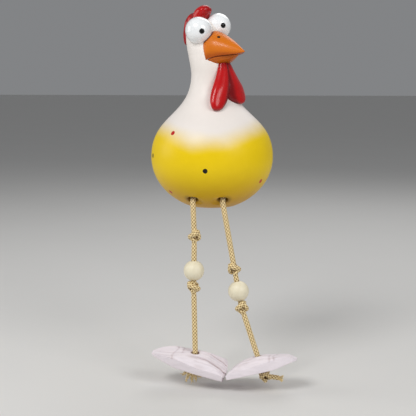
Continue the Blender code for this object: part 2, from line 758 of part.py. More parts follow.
def make_leg(name, leg, parts, cutters):
    """One leg from the stop knot inside the body to the frayed end below the foot."""
    hole = hole_frame(leg)
    out = (hole.to_3x3() @ Vector((0, 0, 1))).normalized()
    hip = hole.translation + out * HIP_OUT
    upper, lower, ankle = [hip + Vector(offset) for offset in leg["route"]]
    first = (upper - hip).normalized()
    second = (lower - upper).normalized()
    third = (ankle - lower).normalized()
    clear = KNOT_HALF + GAP
    stop = hip - out * (HIP_OUT + WALL + GAP + STOP_KNOT_R + 0.0015)
    splay = upper + second * (clear + ROPE_R)
    knee = lower + third * (clear + ROPE_R)
    foot_at = foot_frame(leg, ankle)
    down = (foot_at.to_3x3() @ Vector((0, 0, -1))).normalized()
    end = ankle + down * (FOOT_THICKNESS + GAP + END_KNOT_HALF)
    bead_at = lower - second * (KNOT_HALF + GAP + math.sqrt(BEAD_R ** 2 - BEAD_BORE_R ** 2))

    hip_pivot = make_pivot("hip_pivot_" + name, Matrix.Translation(hip), parts)
    splay_pivot = make_pivot("splay_pivot_" + name, Matrix.Translation(splay), parts, hip_pivot)
    knee_pivot = make_pivot("knee_pivot_" + name, Matrix.Translation(knee), parts, splay_pivot)
    ankle_pivot = make_pivot("ankle_pivot_" + name, foot_at, parts, knee_pivot)

    ball("stop_knot_" + name, (STOP_KNOT_R,) * 3, along_z(out, stop), parts, "rope", (14, 9))
    stretch("rope_root_" + name, stop + out * (STOP_KNOT_R + GAP),
            hip - out * (ROPE_R + GAP), False, parts)
    pieces = {
        hip_pivot: [
            stretch("rope_thigh_" + name, hip, upper - first * clear, True, parts),
            knot("knot_upper_" + name, upper, second, KNOT_R, KNOT_HALF, parts)],
        splay_pivot: [
            stretch("rope_knee_" + name, splay, lower - second * clear, True, parts),
            knot("knot_lower_" + name, lower, third, KNOT_R, KNOT_HALF, parts),
            make_bead("bead_" + name, bead_at, second, parts)],
        knee_pivot: [
            stretch("rope_shin_" + name, knee, ankle - third * (ROPE_R + GAP), True, parts)],
        ankle_pivot: [
            stretch("rope_end_" + name, ankle, end - down * (END_KNOT_HALF + GAP), True, parts),
            knot("end_knot_" + name, end, down, END_KNOT_R, END_KNOT_HALF, parts),
            make_tail(name, leg, end, parts),
            make_foot(name, leg, ankle, parts, cutters)],
    }
    for pivot, members in pieces.items():
        for obj in members:
            if not obj.name.startswith(("knot", "bead", "end_knot")):
                set_origin(obj, pivot.matrix_world.translation)
            hang(obj, pivot)


def make_tail(name, leg, end, parts):
    """Short frayed end of the rope, widening to its tip."""
    near, far = [Vector(offset) for offset in leg["tail"]]
    start = end + near.normalized() * (END_KNOT_R + GAP)
    tip = start + (far - near)
    middle = (start + tip) / 2
    return tube("frayed_end_" + name, [start, middle, tip],
                [ROPE_R * 0.8, ROPE_R, ROPE_R * TAIL_FLARE], parts, "rope")


def main():
    """Build the whole figure."""
    clear_scene()
    parts = make_collection("shelf_sitter_chicken")
    cutters = make_collection("cutters")
    shell, form = make_body(parts, cutters)
    cut_rope_holes(shell, cutters)
    make_face(form, shell, parts, cutters)
    for name, leg in LEGS.items():
        make_leg(name, leg, parts, cutters)


main()
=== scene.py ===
"""Looks of the shelf-sitter chicken: painted cast figure, braided rope legs, beads and cast feet.

Metres, +Z up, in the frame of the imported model: the origin is the middle of the flat underside,
the figure faces -Y and its own right side is -X.
"""
import json
import math
import random

import bmesh
import bpy
import numpy as np
from bpy.props import FloatProperty, FloatVectorProperty, IntProperty, PointerProperty
from mathutils import Matrix, Vector, noise
from mathutils.geometry import interpolate_bezier


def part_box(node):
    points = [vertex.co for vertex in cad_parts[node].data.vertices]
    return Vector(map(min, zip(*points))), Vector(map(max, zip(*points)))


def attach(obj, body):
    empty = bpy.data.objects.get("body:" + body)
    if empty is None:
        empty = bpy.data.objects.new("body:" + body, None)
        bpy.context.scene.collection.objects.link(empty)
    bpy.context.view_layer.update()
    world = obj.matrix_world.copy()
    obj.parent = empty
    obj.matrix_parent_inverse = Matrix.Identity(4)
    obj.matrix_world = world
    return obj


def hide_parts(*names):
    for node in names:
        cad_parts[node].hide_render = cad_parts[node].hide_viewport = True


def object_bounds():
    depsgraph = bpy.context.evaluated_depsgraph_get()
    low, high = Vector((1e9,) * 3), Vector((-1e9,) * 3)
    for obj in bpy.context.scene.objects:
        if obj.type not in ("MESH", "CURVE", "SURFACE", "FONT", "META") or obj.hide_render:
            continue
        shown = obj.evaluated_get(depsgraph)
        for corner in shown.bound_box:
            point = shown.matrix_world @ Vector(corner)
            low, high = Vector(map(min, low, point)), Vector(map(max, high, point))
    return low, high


bl_info = {
    "name": "Shelf-sitter chicken",
    "version": (1, 0, 0),
    "blender": (4, 5, 0),
    "location": "3D View > Sidebar > Chicken",
    "description": "Painted hollow chicken ornament with knotted rope legs, beads and cast feet",
    "category": "Object",
}

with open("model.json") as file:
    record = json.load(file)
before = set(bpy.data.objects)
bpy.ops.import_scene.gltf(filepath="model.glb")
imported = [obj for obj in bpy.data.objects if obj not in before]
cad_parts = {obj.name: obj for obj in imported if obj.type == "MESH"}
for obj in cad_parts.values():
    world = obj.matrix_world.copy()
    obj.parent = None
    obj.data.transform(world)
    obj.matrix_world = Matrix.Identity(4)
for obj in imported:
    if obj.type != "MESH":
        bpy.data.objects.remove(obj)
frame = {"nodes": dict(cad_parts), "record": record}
CAD_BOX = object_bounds()
JOINTS = {joint["name"]: joint for joint in frame["record"]["behaviour"]["joints"]}

# Hollow body, neck and head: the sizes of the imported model
SEAT_R = 0.0200
BELLY_R = 0.0536
BELLY_Z = 0.0430
BELLY_HANDLE = 0.0380
NECK_Z = 0.1160
NECK_HANDLE = 0.0370
CHEEK_R = 0.0190
CHEEK_RISE = 0.0240
CROWN_R = 0.0145
CROWN_Z = 0.1632
WALL = 0.0045
FLOOR = 0.0042
NECK_CORE = 0.0060
POUR_HOLE_R = 0.0085
HEAD_TURN = math.radians(55.5)
HEAD_LEAN = 0.0100
HEAD_STRETCH = 0.25
HEAD_ROLL = math.radians(11.0)
NECK_DRIFT = -0.0014
DRIFT_FROM_Z = 0.060

# Rope holes in the belly; HIP_OUT is how far the pivot stands outside a hole
HIP_OUT = 0.0012
HOLE_Z = 0.0080
HOLE_R = 0.0036
HOLE_RIM_R = 0.0080
HOLE_RIM_DEPTH = 0.0036
HOLE_RIM_SHIFT = {"right": -0.0016, "left": 0.0008}

# Eyes, in the head's frame
EYE_X = 0.0109
EYE_BACK = 0.0010
EYE_Z = 0.1544
PUPIL_DEPTH = 0.0010
EYE_SHARE = {"right": 1.015, "left": 1.0}
EYE_SHIFT = {"right": (0.0023, 0.0009), "left": (0.0, 0.0)}
GAZE = {"right": (math.radians(-33.5), math.radians(-6.0)),
        "left": (math.radians(-24.8), math.radians(2.0))}

# Beak, as distance ahead of the neck's axis and height
BEAK_START = 0.0010
BEAK_TIP = 0.0385
BEAK_WIDEST = 0.0060
RIDGE = ((0.0010, 0.1535), (0.0140, 0.1515), (0.0265, 0.1430), (0.0385, 0.1345))
MOUTH = ((0.0010, 0.1225), (0.0160, 0.1345), (0.0280, 0.1290), (0.0385, 0.1337))
LOWER_TIP = 0.0320
LOWER_CHIN = 0.0150
NOSTRIL = (0.0069, -0.0156, 0.1465)

# Comb: outline in the head's middle plane, as distance behind the neck and height
COMB_OUTLINE = (
    (0.0080, 0.1590), (0.0058, 0.1622), (0.0030, 0.1662), (0.0014, 0.1700), (0.0024, 0.1730),
    (0.0058, 0.1745), (0.0100, 0.1742), (0.0145, 0.1718), (0.0178, 0.1686), (0.0215, 0.1684),
    (0.0262, 0.1660), (0.0298, 0.1605), (0.0314, 0.1530), (0.0312, 0.1462), (0.0290, 0.1405),
    (0.0235, 0.1430), (0.0165, 0.1530), (0.0110, 0.1570),
)

RIDGE_SPACING = 0.0042

# Wattles: centre ahead and aside, height, half width and half thickness down one lobe
WATTLE_ROWS = (
    (0.0150, 0.0020, 0.1285, 0.0030, 0.0030), (0.0168, 0.0030, 0.1240, 0.0040, 0.0034),
    (0.0185, 0.0044, 0.1180, 0.0052, 0.0040), (0.0200, 0.0062, 0.1110, 0.0070, 0.0048),
    (0.0212, 0.0082, 0.1040, 0.0088, 0.0054), (0.0218, 0.0094, 0.0975, 0.0096, 0.0054),
    (0.0228, 0.0104, 0.0925, 0.0087, 0.0048), (0.0238, 0.0112, 0.0888, 0.0060, 0.0036),
    (0.0241, 0.0115, 0.0874, 0.0034, 0.0022),
)
WATTLE_CURL = {"right": (0.0070, 0.0026, 0.96, 0.0), "left": (-0.0004, -0.0022, 1.30, -0.0018)}

# Painted dots on the body: turn from the front in degrees, height, and whether it is red
DOTS = (
    (-37.0, 0.0658, 1), (1.0, 0.0353, 0), (-66.0, 0.0451, 0), (-51.0, 0.0142, 1), (66.0, 0.0240, 1),
    (104.0, 0.0560, 0), (139.0, 0.0330, 1), (172.0, 0.0620, 1), (-150.0, 0.0400, 0),
    (-112.0, 0.0620, 1), (-128.0, 0.0200, 0),
)

# Path of a tightened overhand knot, with the rope coming in from above, for a rope of unit radius
KNOT_WRAPS = (
    (0.0, 0.0, 2.50), (0.35, -0.15, 1.90), (1.05, -0.50, 1.25), (1.65, -0.45, 0.20),
    (1.45, 0.90, -0.95), (0.0, 1.65, -1.15), (-1.55, 0.80, -0.65), (-1.40, -1.05, -0.10),
    (-0.10, -1.85, 0.45), (1.25, -1.10, 1.35), (1.00, 0.95, 1.40), (-0.70, 0.95, 0.65),
    (-0.75, -0.55, -0.80), (-0.10, -0.75, -1.60), (0.0, 0.0, -2.50),
)

# Feet: the local X axis runs from the heel to the toes, with the top of the bore at the ankle
FOOT_THICKNESS = 0.0130
FOOT_HALF_WIDTH = 0.0165
FOOT_EDGE = 0.0040
FOOT_BORE_R = 0.0030
FOOT_RIM_R = 0.0048
FEET = {
    "right": {"side": -1, "toes_down": 11.0, "front_down": 8.0, "yaw": -2.0, "heel": 0.0366,
              "reach": 0.0300, "heel_top": 0.72, "seed": 3},
    "left": {"side": 1, "toes_down": 14.0, "front_down": -9.0, "yaw": 180.0, "heel": 0.0322,
             "reach": 0.0290, "heel_top": 0.92, "seed": 8},
}

# Rope pieces: how far one runs on past a pivot, and how far the next starts before it, in radii
ROPE_RUN_ON = 0.0006
ROPE_TUCK = 0.9
SHORTEST_CORD = 0.030

# How far each end knot hangs off the bore's axis
END_KNOT_SHIFT = {"right": (0.0, 0.0, 0.0), "left": (0.0028, 0.0, 0.0006)}

# Where the loose strands under the right foot point, from the middle of its end knot
FRAY_STRANDS = (
    (-0.0072, -0.0010, -0.0012), (-0.0040, -0.0030, -0.0044), (0.0004, -0.0022, -0.0060),
    (0.0044, -0.0026, -0.0050), (0.0062, 0.0006, -0.0026),
)

KNOT_NODES = {"stop": "stop_knot", "upper": "knot_upper", "lower": "knot_lower", "end": "end_knot"}

# How each knot is turned about its rope, in degrees, and whether its wraps run the other way
KNOT_TURNS = {
    "stop_knot_right": (0.0, 1), "knot_upper_right": (0.0, 1), "knot_lower_right": (-25.0, -1),
    "end_knot_right": (60.0, 1), "stop_knot_left": (90.0, 1), "knot_upper_left": (10.0, -1),
    "knot_lower_left": (-15.0, 1), "end_knot_left": (-30.0, 1),
}


# ---------------------------------------------------------------- settings

def colour_setting(name, text, value):
    """Colour that a user can change."""
    return FloatVectorProperty(name=name, description=text, subtype="COLOR", size=3,
                               min=0.0, max=1.0, default=value)


def length_setting(name, text, value):
    """Length that a user can change, in metres."""
    return FloatProperty(name=name, description=text, unit="LENGTH", precision=5,
                         min=0.00001, default=value)


class ChickenBodySettings(bpy.types.PropertyGroup):
    """Sizes and paint of the cast body."""

    belly_radius: length_setting("Belly radius", "Half the width of the belly", BELLY_R)
    neck_radius: length_setting("Neck radius", "Half the width of the neck", 0.0168)
    cream: colour_setting("Cream", "Paint of the head, neck and chest", (0.84, 0.78, 0.73))
    yellow: colour_setting("Yellow", "Airbrushed paint of the belly", (0.86, 0.60, 0.002))
    # Partly a deeper gold paint and partly painted shade under the belly.
    gold_and_underside_shade: colour_setting("Gold", "Deeper paint towards the underside", (0.52, 0.25, 0.001))
    inside: colour_setting("Inside", "Bare casting inside the hollow", (0.16, 0.07, 0.02))
    dot_radius: length_setting("Dot radius", "Half the width of a painted dot", 0.0022)
    dot_red: colour_setting("Red dots", "Paint of the red dots", (0.50, 0.012, 0.010))
    dot_black: colour_setting("Black dots", "Paint of the black dots", (0.006, 0.006, 0.006))
    turns: IntProperty(name="Facets", description="Facets round the body", min=24, default=168)


class ChickenFaceSettings(bpy.types.PropertyGroup):
    """Sizes and paint of the eyes, beak, comb and wattles."""

    eye_radius: length_setting("Eye radius", "Half the width of an eye", 0.0114)
    pupil_radius: length_setting("Pupil radius", "Half the width of a pupil", 0.0020)
    eye_white: colour_setting("Eye white", "Paint of the eyes", (0.90, 0.92, 0.93))
    beak_width: length_setting("Beak half width", "Half the width of the beak's root", 0.0150)
    beak_depth: length_setting("Lower beak depth", "Depth of the lower beak", 0.0066)
    orange: colour_setting("Orange", "Paint of the beak", (0.66, 0.165, 0.004))
    # Orange shade: painted shade in the beak's folds, along the mouth line and under the upper
    # beak.
    orange_shade: colour_setting("Orange shade", "Painted shade in the beak's folds", (0.30, 0.045, 0.004))
    comb_thickness: length_setting("Comb thickness", "Thickest part of the comb", 0.0146)
    red: colour_setting("Red", "Paint of the comb and wattles", (0.50, 0.005, 0.006))
    # Red shade: painted shade in the folds, edges and undersides of the comb and wattles.
    red_shade: colour_setting("Red shade", "Painted shade in the red folds", (0.11, 0.002, 0.004))


class ChickenRopeSettings(bpy.types.PropertyGroup):
    """Sizes and colours of the rope legs."""

    radius: length_setting("Rope radius", "Half the thickness of the rope", 0.0024)
    knot_share: FloatProperty(name="Knot tightness", description="Share of the radius in a knot",
                              min=0.5, max=1.0, default=0.90)
    strands: IntProperty(name="Strands", description="Strands of the braid in each direction",
                         min=4, max=16, default=5)
    strand: colour_setting("Strand", "Colour of the strands", (0.90, 0.72, 0.38))
    # The gap colour is painted shade in the grooves between the strands.
    gap: colour_setting("Gap", "Painted shade between the strands", (0.20, 0.090, 0.014))


class ChickenFootSettings(bpy.types.PropertyGroup):
    """Finish of the beads and the cast feet."""

    bead_radius: length_setting("Bead radius", "Half the width of a bead", 0.0088)
    bead_wood: colour_setting("Bead wood", "Pale wood of the beads", (0.84, 0.77, 0.58))
    bead_grain: colour_setting("Bead grain", "Grain lines in the beads", (0.66, 0.56, 0.38))
    foot_paint: colour_setting("Foot paint", "Whitish pink paint of the feet", (0.86, 0.79, 0.83))
    # Foot shade: painted shade in the carved lines, the bore and on the underside.
    foot_shade: colour_setting("Foot shade", "Painted shade in the carved lines", (0.30, 0.19, 0.18))


class ChickenStageSettings(bpy.types.PropertyGroup):
    """Floor, light and camera."""

    floor: colour_setting("Floor", "Plain pale floor", (0.70, 0.69, 0.67))
    sky: colour_setting("Surroundings", "Soft light from all round", (0.90, 0.92, 0.95))
    key_power: FloatProperty(name="Key light", description="Power of the main light", unit="POWER",
                             min=0.0, default=8.6)
    lens: FloatProperty(name="Lens", description="Focal length of the camera", unit="CAMERA",
                        min=10.0, default=80.65)


# ---------------------------------------------------------------- shader nodes

def add_node(tree, kind, inputs=None, **settings):
    """Add a shader node; inputs maps a socket's name or index to a value or to an output."""
    node = tree.nodes.new(kind)
    for name, value in settings.items():
        setattr(node, name, value)
    for name, value in (inputs or {}).items():
        if isinstance(value, bpy.types.NodeSocket):
            tree.links.new(value, node.inputs[name])
        else:
            node.inputs[name].default_value = value
    return node


def calc(tree, operation, first, second=0.0):
    """Number from two numbers."""
    return add_node(tree, "ShaderNodeMath", {0: first, 1: second}, operation=operation).outputs[0]


def blend(tree, share, first, second):
    """Colour between two colours."""
    mix = add_node(tree, "ShaderNodeMix", {0: share, 6: first, 7: second}, data_type="RGBA")
    return mix.outputs[2]


def ramp(tree, value, low, high, start=0.0, end=1.0):
    """Smooth step of a number between two limits."""
    node = add_node(tree, "ShaderNodeMapRange",
                    {"Value": value, "From Min": low, "From Max": high, "To Min": start,
                     "To Max": end}, interpolation_type="SMOOTHSTEP")
    return node.outputs["Result"]


def rgba(colour):
    """Colour with full cover."""
    return (*colour, 1.0)


def start_group(name, inputs, outputs):
    """New node group with named sockets, and its input and output nodes."""
    group = bpy.data.node_groups.new(name, "ShaderNodeTree")
    for label, kind, value in inputs:
        socket = group.interface.new_socket(label, in_out="INPUT", socket_type="NodeSocket" + kind)
        if value is not None:
            socket.default_value = value
    for label, kind in outputs:
        group.interface.new_socket(label, in_out="OUTPUT", socket_type="NodeSocket" + kind)
    given = group.nodes.new("NodeGroupInput").outputs
    return group, given, group.nodes.new("NodeGroupOutput").inputs


def use_group(tree, name, inputs):
    """Outputs of a node group placed with its own values."""
    return add_node(tree, "ShaderNodeGroup", inputs,
                    node_tree=bpy.data.node_groups[name]).outputs


def uneven(tree, place, scale, amount):
    """Slow change about one, as of an uneven coat."""
    return use_group(tree, "uneven_coat",
                     {"Position": place, "Scale": scale, "Amount": amount})["Value"]


def brushed(tree, place, scale, stretch):
    """Height and mask of brush marks."""
    return use_group(tree, "brush_marks", {"Position": place, "Scale": scale, "Stretch": stretch})


def tint(tree, shader, colour, share):
    """Feed a colour, made lighter and darker by a number, to the shader."""
    tinted = add_node(tree, "ShaderNodeVectorMath", {0: colour, "Scale": share}, operation="SCALE")
    tree.links.new(tinted.outputs[0], shader.inputs["Base Color"])


def darker(colour, share):
    """Colour with full cover at a share of its brightness."""
    return rgba([part * share for part in colour])


def distance_to(group, given):
    """Distance from a group's position to its centre."""
    return add_node(group, "ShaderNodeVectorMath", {0: given["Position"], 1: given["Centre"]},
                    operation="DISTANCE").outputs["Value"]


def build_dot_group():
    """Round dot of hand-dabbed paint about a point."""
    group, given, result = start_group(
        "dabbed_dot", (("Position", "Vector", None), ("Centre", "Vector", None),
                       ("Radius", "Float", 0.002), ("Wobble", "Float", 0.0003)),
        (("Mask", "Float"),))
    wobble = add_node(group, "ShaderNodeTexNoise",
                      {"Vector": given["Position"], "Scale": 420.0, "Detail": 2.0})
    away = distance_to(group, given)
    shift = calc(group, "MULTIPLY", calc(group, "SUBTRACT", wobble.outputs["Fac"], 0.5),
                 given["Wobble"])
    edge = calc(group, "ADD", away, shift)
    inner = calc(group, "MULTIPLY", given["Radius"], 0.86)
    group.links.new(ramp(group, edge, inner, given["Radius"], 1.0, 0.0), result["Mask"])


def build_mottle_group():
    """Slow, uneven change of a brushed or sprayed coat, about one."""
    group, given, result = start_group(
        "uneven_coat", (("Position", "Vector", None), ("Scale", "Float", 60.0),
                        ("Amount", "Float", 0.1)), (("Value", "Float"),))
    cloud = add_node(group, "ShaderNodeTexNoise",
                     {"Vector": given["Position"], "Scale": given["Scale"], "Detail": 4.0,
                      "Roughness": 0.6})
    centred = calc(group, "SUBTRACT", cloud.outputs["Fac"], 0.5)
    swing = calc(group, "MULTIPLY", centred, given["Amount"])
    group.links.new(calc(group, "ADD", swing, 1.0), result["Value"])


def build_brush_group():
    """Marks of a brush drawn along one direction."""
    group, given, result = start_group(
        "brush_marks", (("Position", "Vector", None), ("Stretch", "Vector", (1.0, 1.0, 1.0)),
                        ("Scale", "Float", 300.0)), (("Height", "Float"), ("Mask", "Float")))
    drawn = add_node(group, "ShaderNodeVectorMath", {0: given["Position"], 1: given["Stretch"]},
                     operation="MULTIPLY").outputs[0]
    fine = add_node(group, "ShaderNodeTexNoise",
                    {"Vector": drawn, "Scale": given["Scale"], "Detail": 6.0, "Roughness": 0.65})
    group.links.new(fine.outputs["Fac"], result["Height"])
    group.links.new(ramp(group, fine.outputs["Fac"], 0.42, 0.66), result["Mask"])


def build_fade_group():
    """Airbrushed change of paint at a height, which rises at the sides."""
    group, given, result = start_group(
        "airbrush_fade", (("Position", "Vector", None), ("Height", "Float", 0.05),
                          ("Depth", "Float", 0.01), ("Side Rise", "Float", 0.0),
                          ("Belly Radius", "Float", 0.05)), (("Mask", "Float"),))
    parts = add_node(group, "ShaderNodeSeparateXYZ", {0: given["Position"]}).outputs
    cloud = add_node(group, "ShaderNodeTexNoise",
                     {"Vector": given["Position"], "Scale": 28.0, "Detail": 2.0})
    wander = calc(group, "MULTIPLY", calc(group, "SUBTRACT", cloud.outputs["Fac"], 0.5), 0.010)
    aside = calc(group, "DIVIDE", calc(group, "ABSOLUTE", parts["X"]), given["Belly Radius"])
    turned = ramp(group, aside, 0.12, 1.05)
    rise = calc(group, "MULTIPLY", turned, given["Side Rise"])
    middle = calc(group, "ADD", calc(group, "ADD", given["Height"], rise), wander)
    low = calc(group, "SUBTRACT", middle, given["Depth"])
    high = calc(group, "ADD", middle, given["Depth"])
    group.links.new(ramp(group, parts["Z"], low, high), result["Mask"])


def build_ring_group():
    """Line of paint at one distance from a point, as where a ball meets what it is set in."""
    group, given, result = start_group(
        "seam_ring", (("Position", "Vector", None), ("Centre", "Vector", None),
                      ("Radius", "Float", 0.01), ("Width", "Float", 0.0006)),
        (("Mask", "Float"),))
    away = distance_to(group, given)
    edge = calc(group, "ADD", given["Radius"], given["Width"])
    group.links.new(ramp(group, away, given["Radius"], edge, 1.0, 0.0), result["Mask"])


def start_material(name):
    """Empty Principled material with its tree, shader and the position on the piece."""
    material = bpy.data.materials.new(name)
    material.use_nodes = True
    tree = material.node_tree
    shader = tree.nodes["Principled BSDF"]
    place = add_node(tree, "ShaderNodeTexCoord").outputs["Object"]
    return material, tree, shader, place


def set_shader(shader, **values):
    """Set constants on the shader's own sockets."""
    for name, value in values.items():
        shader.inputs[name.replace("_", " ")].default_value = value


def add_bump(tree, shader, height, strength, distance):
    """Feed a height to the shader's normal."""
    bump = add_node(tree, "ShaderNodeBump",
                    {"Height": height, "Strength": strength, "Distance": distance})
    tree.links.new(bump.outputs["Normal"], shader.inputs["Normal"])


def surface_mask(tree, name):
    """Number that a mesh carries at each of its points."""
    return add_node(tree, "ShaderNodeAttribute", attribute_name=name).outputs["Fac"]


def dot_place(body, turn, height):
    """Point on the body's outside at a turn from the front and a height."""
    radius = float(np.interp(height, *body_radii(body)))
    angle = math.radians(turn)
    return (radius * math.sin(angle), -radius * math.cos(angle), height)


def body_paint(body):
    """Glossy cream paint, airbrushed to yellow and to a deeper gold that is darkened further as
    painted shade towards the underside, with dabbed dots and painted shade at the rope holes.
    """
    material, tree, shader, place = start_material("body_paint")
    fade = {"Position": place, "Belly Radius": body.belly_radius}
    yellow_edge = use_group(tree, "airbrush_fade", fade | {
        "Height": 0.0582, "Depth": 0.0105, "Side Rise": 0.0150})["Mask"]
    # The gold towards the underside is partly a deeper paint and partly painted shade under the
    # belly.
    gold_edge = use_group(tree, "airbrush_fade", fade | {
        "Height": 0.0150, "Depth": 0.0230, "Side Rise": 0.0040})["Mask"]
    coat = uneven(tree, place, 38.0, 0.10)
    belly = blend(tree, gold_edge, rgba(body.gold_and_underside_shade), rgba(body.yellow))
    colour = blend(tree, yellow_edge, belly, rgba(body.cream))
    hollow = surface_mask(tree, "hollow")
    rim = surface_mask(tree, "rim_shade")
    colour = blend(tree, rim, colour, darker(body.gold_and_underside_shade, 0.42))
    for turn, height, red in DOTS:
        mask = use_group(tree, "dabbed_dot", {
            "Position": place, "Centre": dot_place(body, turn, height),
            "Radius": body.dot_radius, "Wobble": 0.0006})["Mask"]
        colour = blend(tree, mask, colour, rgba(body.dot_red if red else body.dot_black))
    colour = blend(tree, hollow, colour, rgba(body.inside))
    tint(tree, shader, colour, coat)
    gloss = uneven(tree, place, 90.0, 0.35)
    tree.links.new(calc(tree, "MULTIPLY", gloss, 0.42), shader.inputs["Roughness"])
    peel = add_node(tree, "ShaderNodeTexNoise", {"Vector": place, "Scale": 260.0, "Detail": 2.0})
    add_bump(tree, shader, peel.outputs["Fac"], 0.10, 0.0004)
    set_shader(shader, Coat_Weight=0.08, Coat_Roughness=0.25, Specular_IOR_Level=0.22)
    return material


def gloss_paint(name, main, shade, scale=130.0, roughness=0.16, coat=0.9, seams=()):
    """Thick glossy paint, darkened towards the shade colour as painted shade in its folds."""
    material, tree, shader, place = start_material(name)
    fold = surface_mask(tree, "fold")
    coat_value = uneven(tree, place, scale, 0.45)
    share = calc(tree, "MULTIPLY", fold, coat_value)
    colour = blend(tree, share, rgba(main), rgba(shade))
    for centre, radius, width, paint in seams:
        mask = use_group(tree, "seam_ring", {
            "Position": place, "Centre": centre, "Radius": radius, "Width": width})["Mask"]
        colour = blend(tree, mask, colour, rgba(paint))
    even = uneven(tree, place, 55.0, 0.22)
    tint(tree, shader, colour, even)
    tree.links.new(calc(tree, "MULTIPLY", coat_value, roughness), shader.inputs["Roughness"])
    marks = brushed(tree, place, 170.0, (1.0, 1.0, 0.35))
    add_bump(tree, shader, marks["Height"], 0.22, 0.0006)
    set_shader(shader, Coat_Weight=coat, Coat_Roughness=0.12, Specular_IOR_Level=0.25)
    return material


def rope_material(rope):
    """Shiny braided cord, with painted shade between its strands."""
    material, tree, shader, place = start_material("leg_rope")
    crest = surface_mask(tree, "crest")
    lift = ramp(tree, crest, 0.45, 0.90)
    coat = uneven(tree, place, 240.0, 0.5)
    tree.links.new(blend(tree, calc(tree, "MULTIPLY", lift, coat), rgba(rope.gap),
                         rgba(rope.strand)), shader.inputs["Base Color"])
    fibre = brushed(tree, place, 1500.0, (1.0, 1.0, 0.30))
    add_bump(tree, shader, fibre["Height"], 0.30, 0.0002)
    tree.links.new(ramp(tree, crest, 0.0, 1.0, 0.75, 0.38), shader.inputs["Roughness"])
    set_shader(shader, Sheen_Weight=0.25, Sheen_Roughness=0.4, Specular_IOR_Level=0.5)
    return material


def bead_material(settings):
    """Pale sanded wood with faint grain."""
    material, tree, shader, place = start_material("bead_wood")
    grain = brushed(tree, place, 420.0, (1.0, 1.0, 0.10))
    coat = uneven(tree, place, 120.0, 0.35)
    share = calc(tree, "MULTIPLY", calc(tree, "MULTIPLY", grain["Mask"], 0.22), coat)
    bore = surface_mask(tree, "bore")
    colour = blend(tree, share, rgba(settings.bead_wood), rgba(settings.bead_grain))
    # Painted shade darkens the wood inside the bore.
    colour = blend(tree, bore, colour, darker(settings.bead_grain, 0.35))
    tree.links.new(colour, shader.inputs["Base Color"])
    tree.links.new(ramp(tree, grain["Height"], 0.3, 0.7, 0.34, 0.46), shader.inputs["Roughness"])
    add_bump(tree, shader, grain["Height"], 0.08, 0.0003)
    set_shader(shader, Specular_IOR_Level=0.4)
    return material


def foot_material(settings):
    """Whitish pink paint brushed over a carved casting, with painted brown shade in the carved
    lines, the bore and on the underside.
    """
    material, tree, shader, place = start_material("foot_paint")
    marks = brushed(tree, place, 330.0, (0.22, 1.0, 1.0))
    coat = uneven(tree, place, 85.0, 0.5)
    recess_shade = surface_mask(tree, "recess_shade")
    streak = calc(tree, "MULTIPLY", calc(tree, "MULTIPLY", marks["Mask"], 0.16), coat)
    colour = blend(tree, streak, rgba(settings.foot_paint),
                   darker(settings.foot_paint, 0.62))
    colour = blend(tree, calc(tree, "MULTIPLY", recess_shade, coat), colour, rgba(settings.foot_shade))
    tree.links.new(colour, shader.inputs["Base Color"])
    tree.links.new(ramp(tree, marks["Height"], 0.3, 0.7, 0.42, 0.62), shader.inputs["Roughness"])
    add_bump(tree, shader, marks["Height"], 0.35, 0.0005)
    set_shader(shader, Specular_IOR_Level=0.4)
    return material


def cork_material():
    """Pressed cork granules."""
    material, tree, shader, place = start_material("plug_cork")
    grains = add_node(tree, "ShaderNodeTexVoronoi", {"Vector": place, "Scale": 700.0})
    coat = uneven(tree, place, 500.0, 0.8)
    share = calc(tree, "MULTIPLY", ramp(tree, grains.outputs["Distance"], 0.1, 0.7), coat)
    colour = blend(tree, share, rgba((0.50, 0.30, 0.14)), rgba((0.16, 0.07, 0.03)))
    tree.links.new(colour, shader.inputs["Base Color"])
    add_bump(tree, shader, grains.outputs["Distance"], 0.5, 0.0004)
    set_shader(shader, Roughness=0.85)
    return material


# ---------------------------------------------------------------- mesh tools

def smoothstep(low, high, value):
    """0 below low, 1 above high, and smooth between."""
    share = np.clip((np.asarray(value, dtype=float) - low) / (high - low), 0.0, 1.0)
    return share * share * (3.0 - 2.0 * share)


def bell(value, centre, width):
    """1 at the centre, falling off on both sides."""
    return np.exp(-((np.asarray(value, dtype=float) - centre) / width) ** 2)


def curve_line(points, count):
    """Side-view cubic curve as arrays of x and z."""
    handles = [Vector((x, 0.0, z)) for x, z in points]
    line = interpolate_bezier(*handles, count)
    return np.array([(point.x, point.z) for point in line])


def through(points, count):
    """Evenly spaced points on a smooth curve through the given ones."""
    given = np.array(points, dtype=float)
    padded = np.vstack([2 * given[0] - given[1], given, 2 * given[-1] - given[-2]])
    dense = []
    for index in range(len(given) - 1):
        p0, p1, p2, p3 = padded[index:index + 4]
        for t in np.linspace(0.0, 1.0, 24, endpoint=False):
            dense.append(0.5 * (2 * p1 + (p2 - p0) * t + (2 * p0 - 5 * p1 + 4 * p2 - p3) * t * t
                                + (3 * p1 - p0 - 3 * p2 + p3) * t ** 3))
    dense = np.array(dense + [given[-1]])
    steps = np.linalg.norm(np.diff(dense[:, :min(3, dense.shape[1])], axis=0), axis=1)
    along = np.concatenate([[0.0], np.cumsum(steps)])
    wanted = np.linspace(0.0, along[-1], count)
    return np.stack([np.interp(wanted, along, column) for column in dense.T], axis=1)


def grid_faces(rows, columns, wrap):
    """Quads of a grid of points, joined round if wrap."""
    across = columns if wrap else columns - 1
    row, column = np.meshgrid(np.arange(rows - 1), np.arange(across), indexing="ij")
    after = (column + 1) % columns
    quads = np.stack([row * columns + column, row * columns + after,
                      (row + 1) * columns + after, (row + 1) * columns + column], axis=-1)
    return quads.reshape(-1, 4)


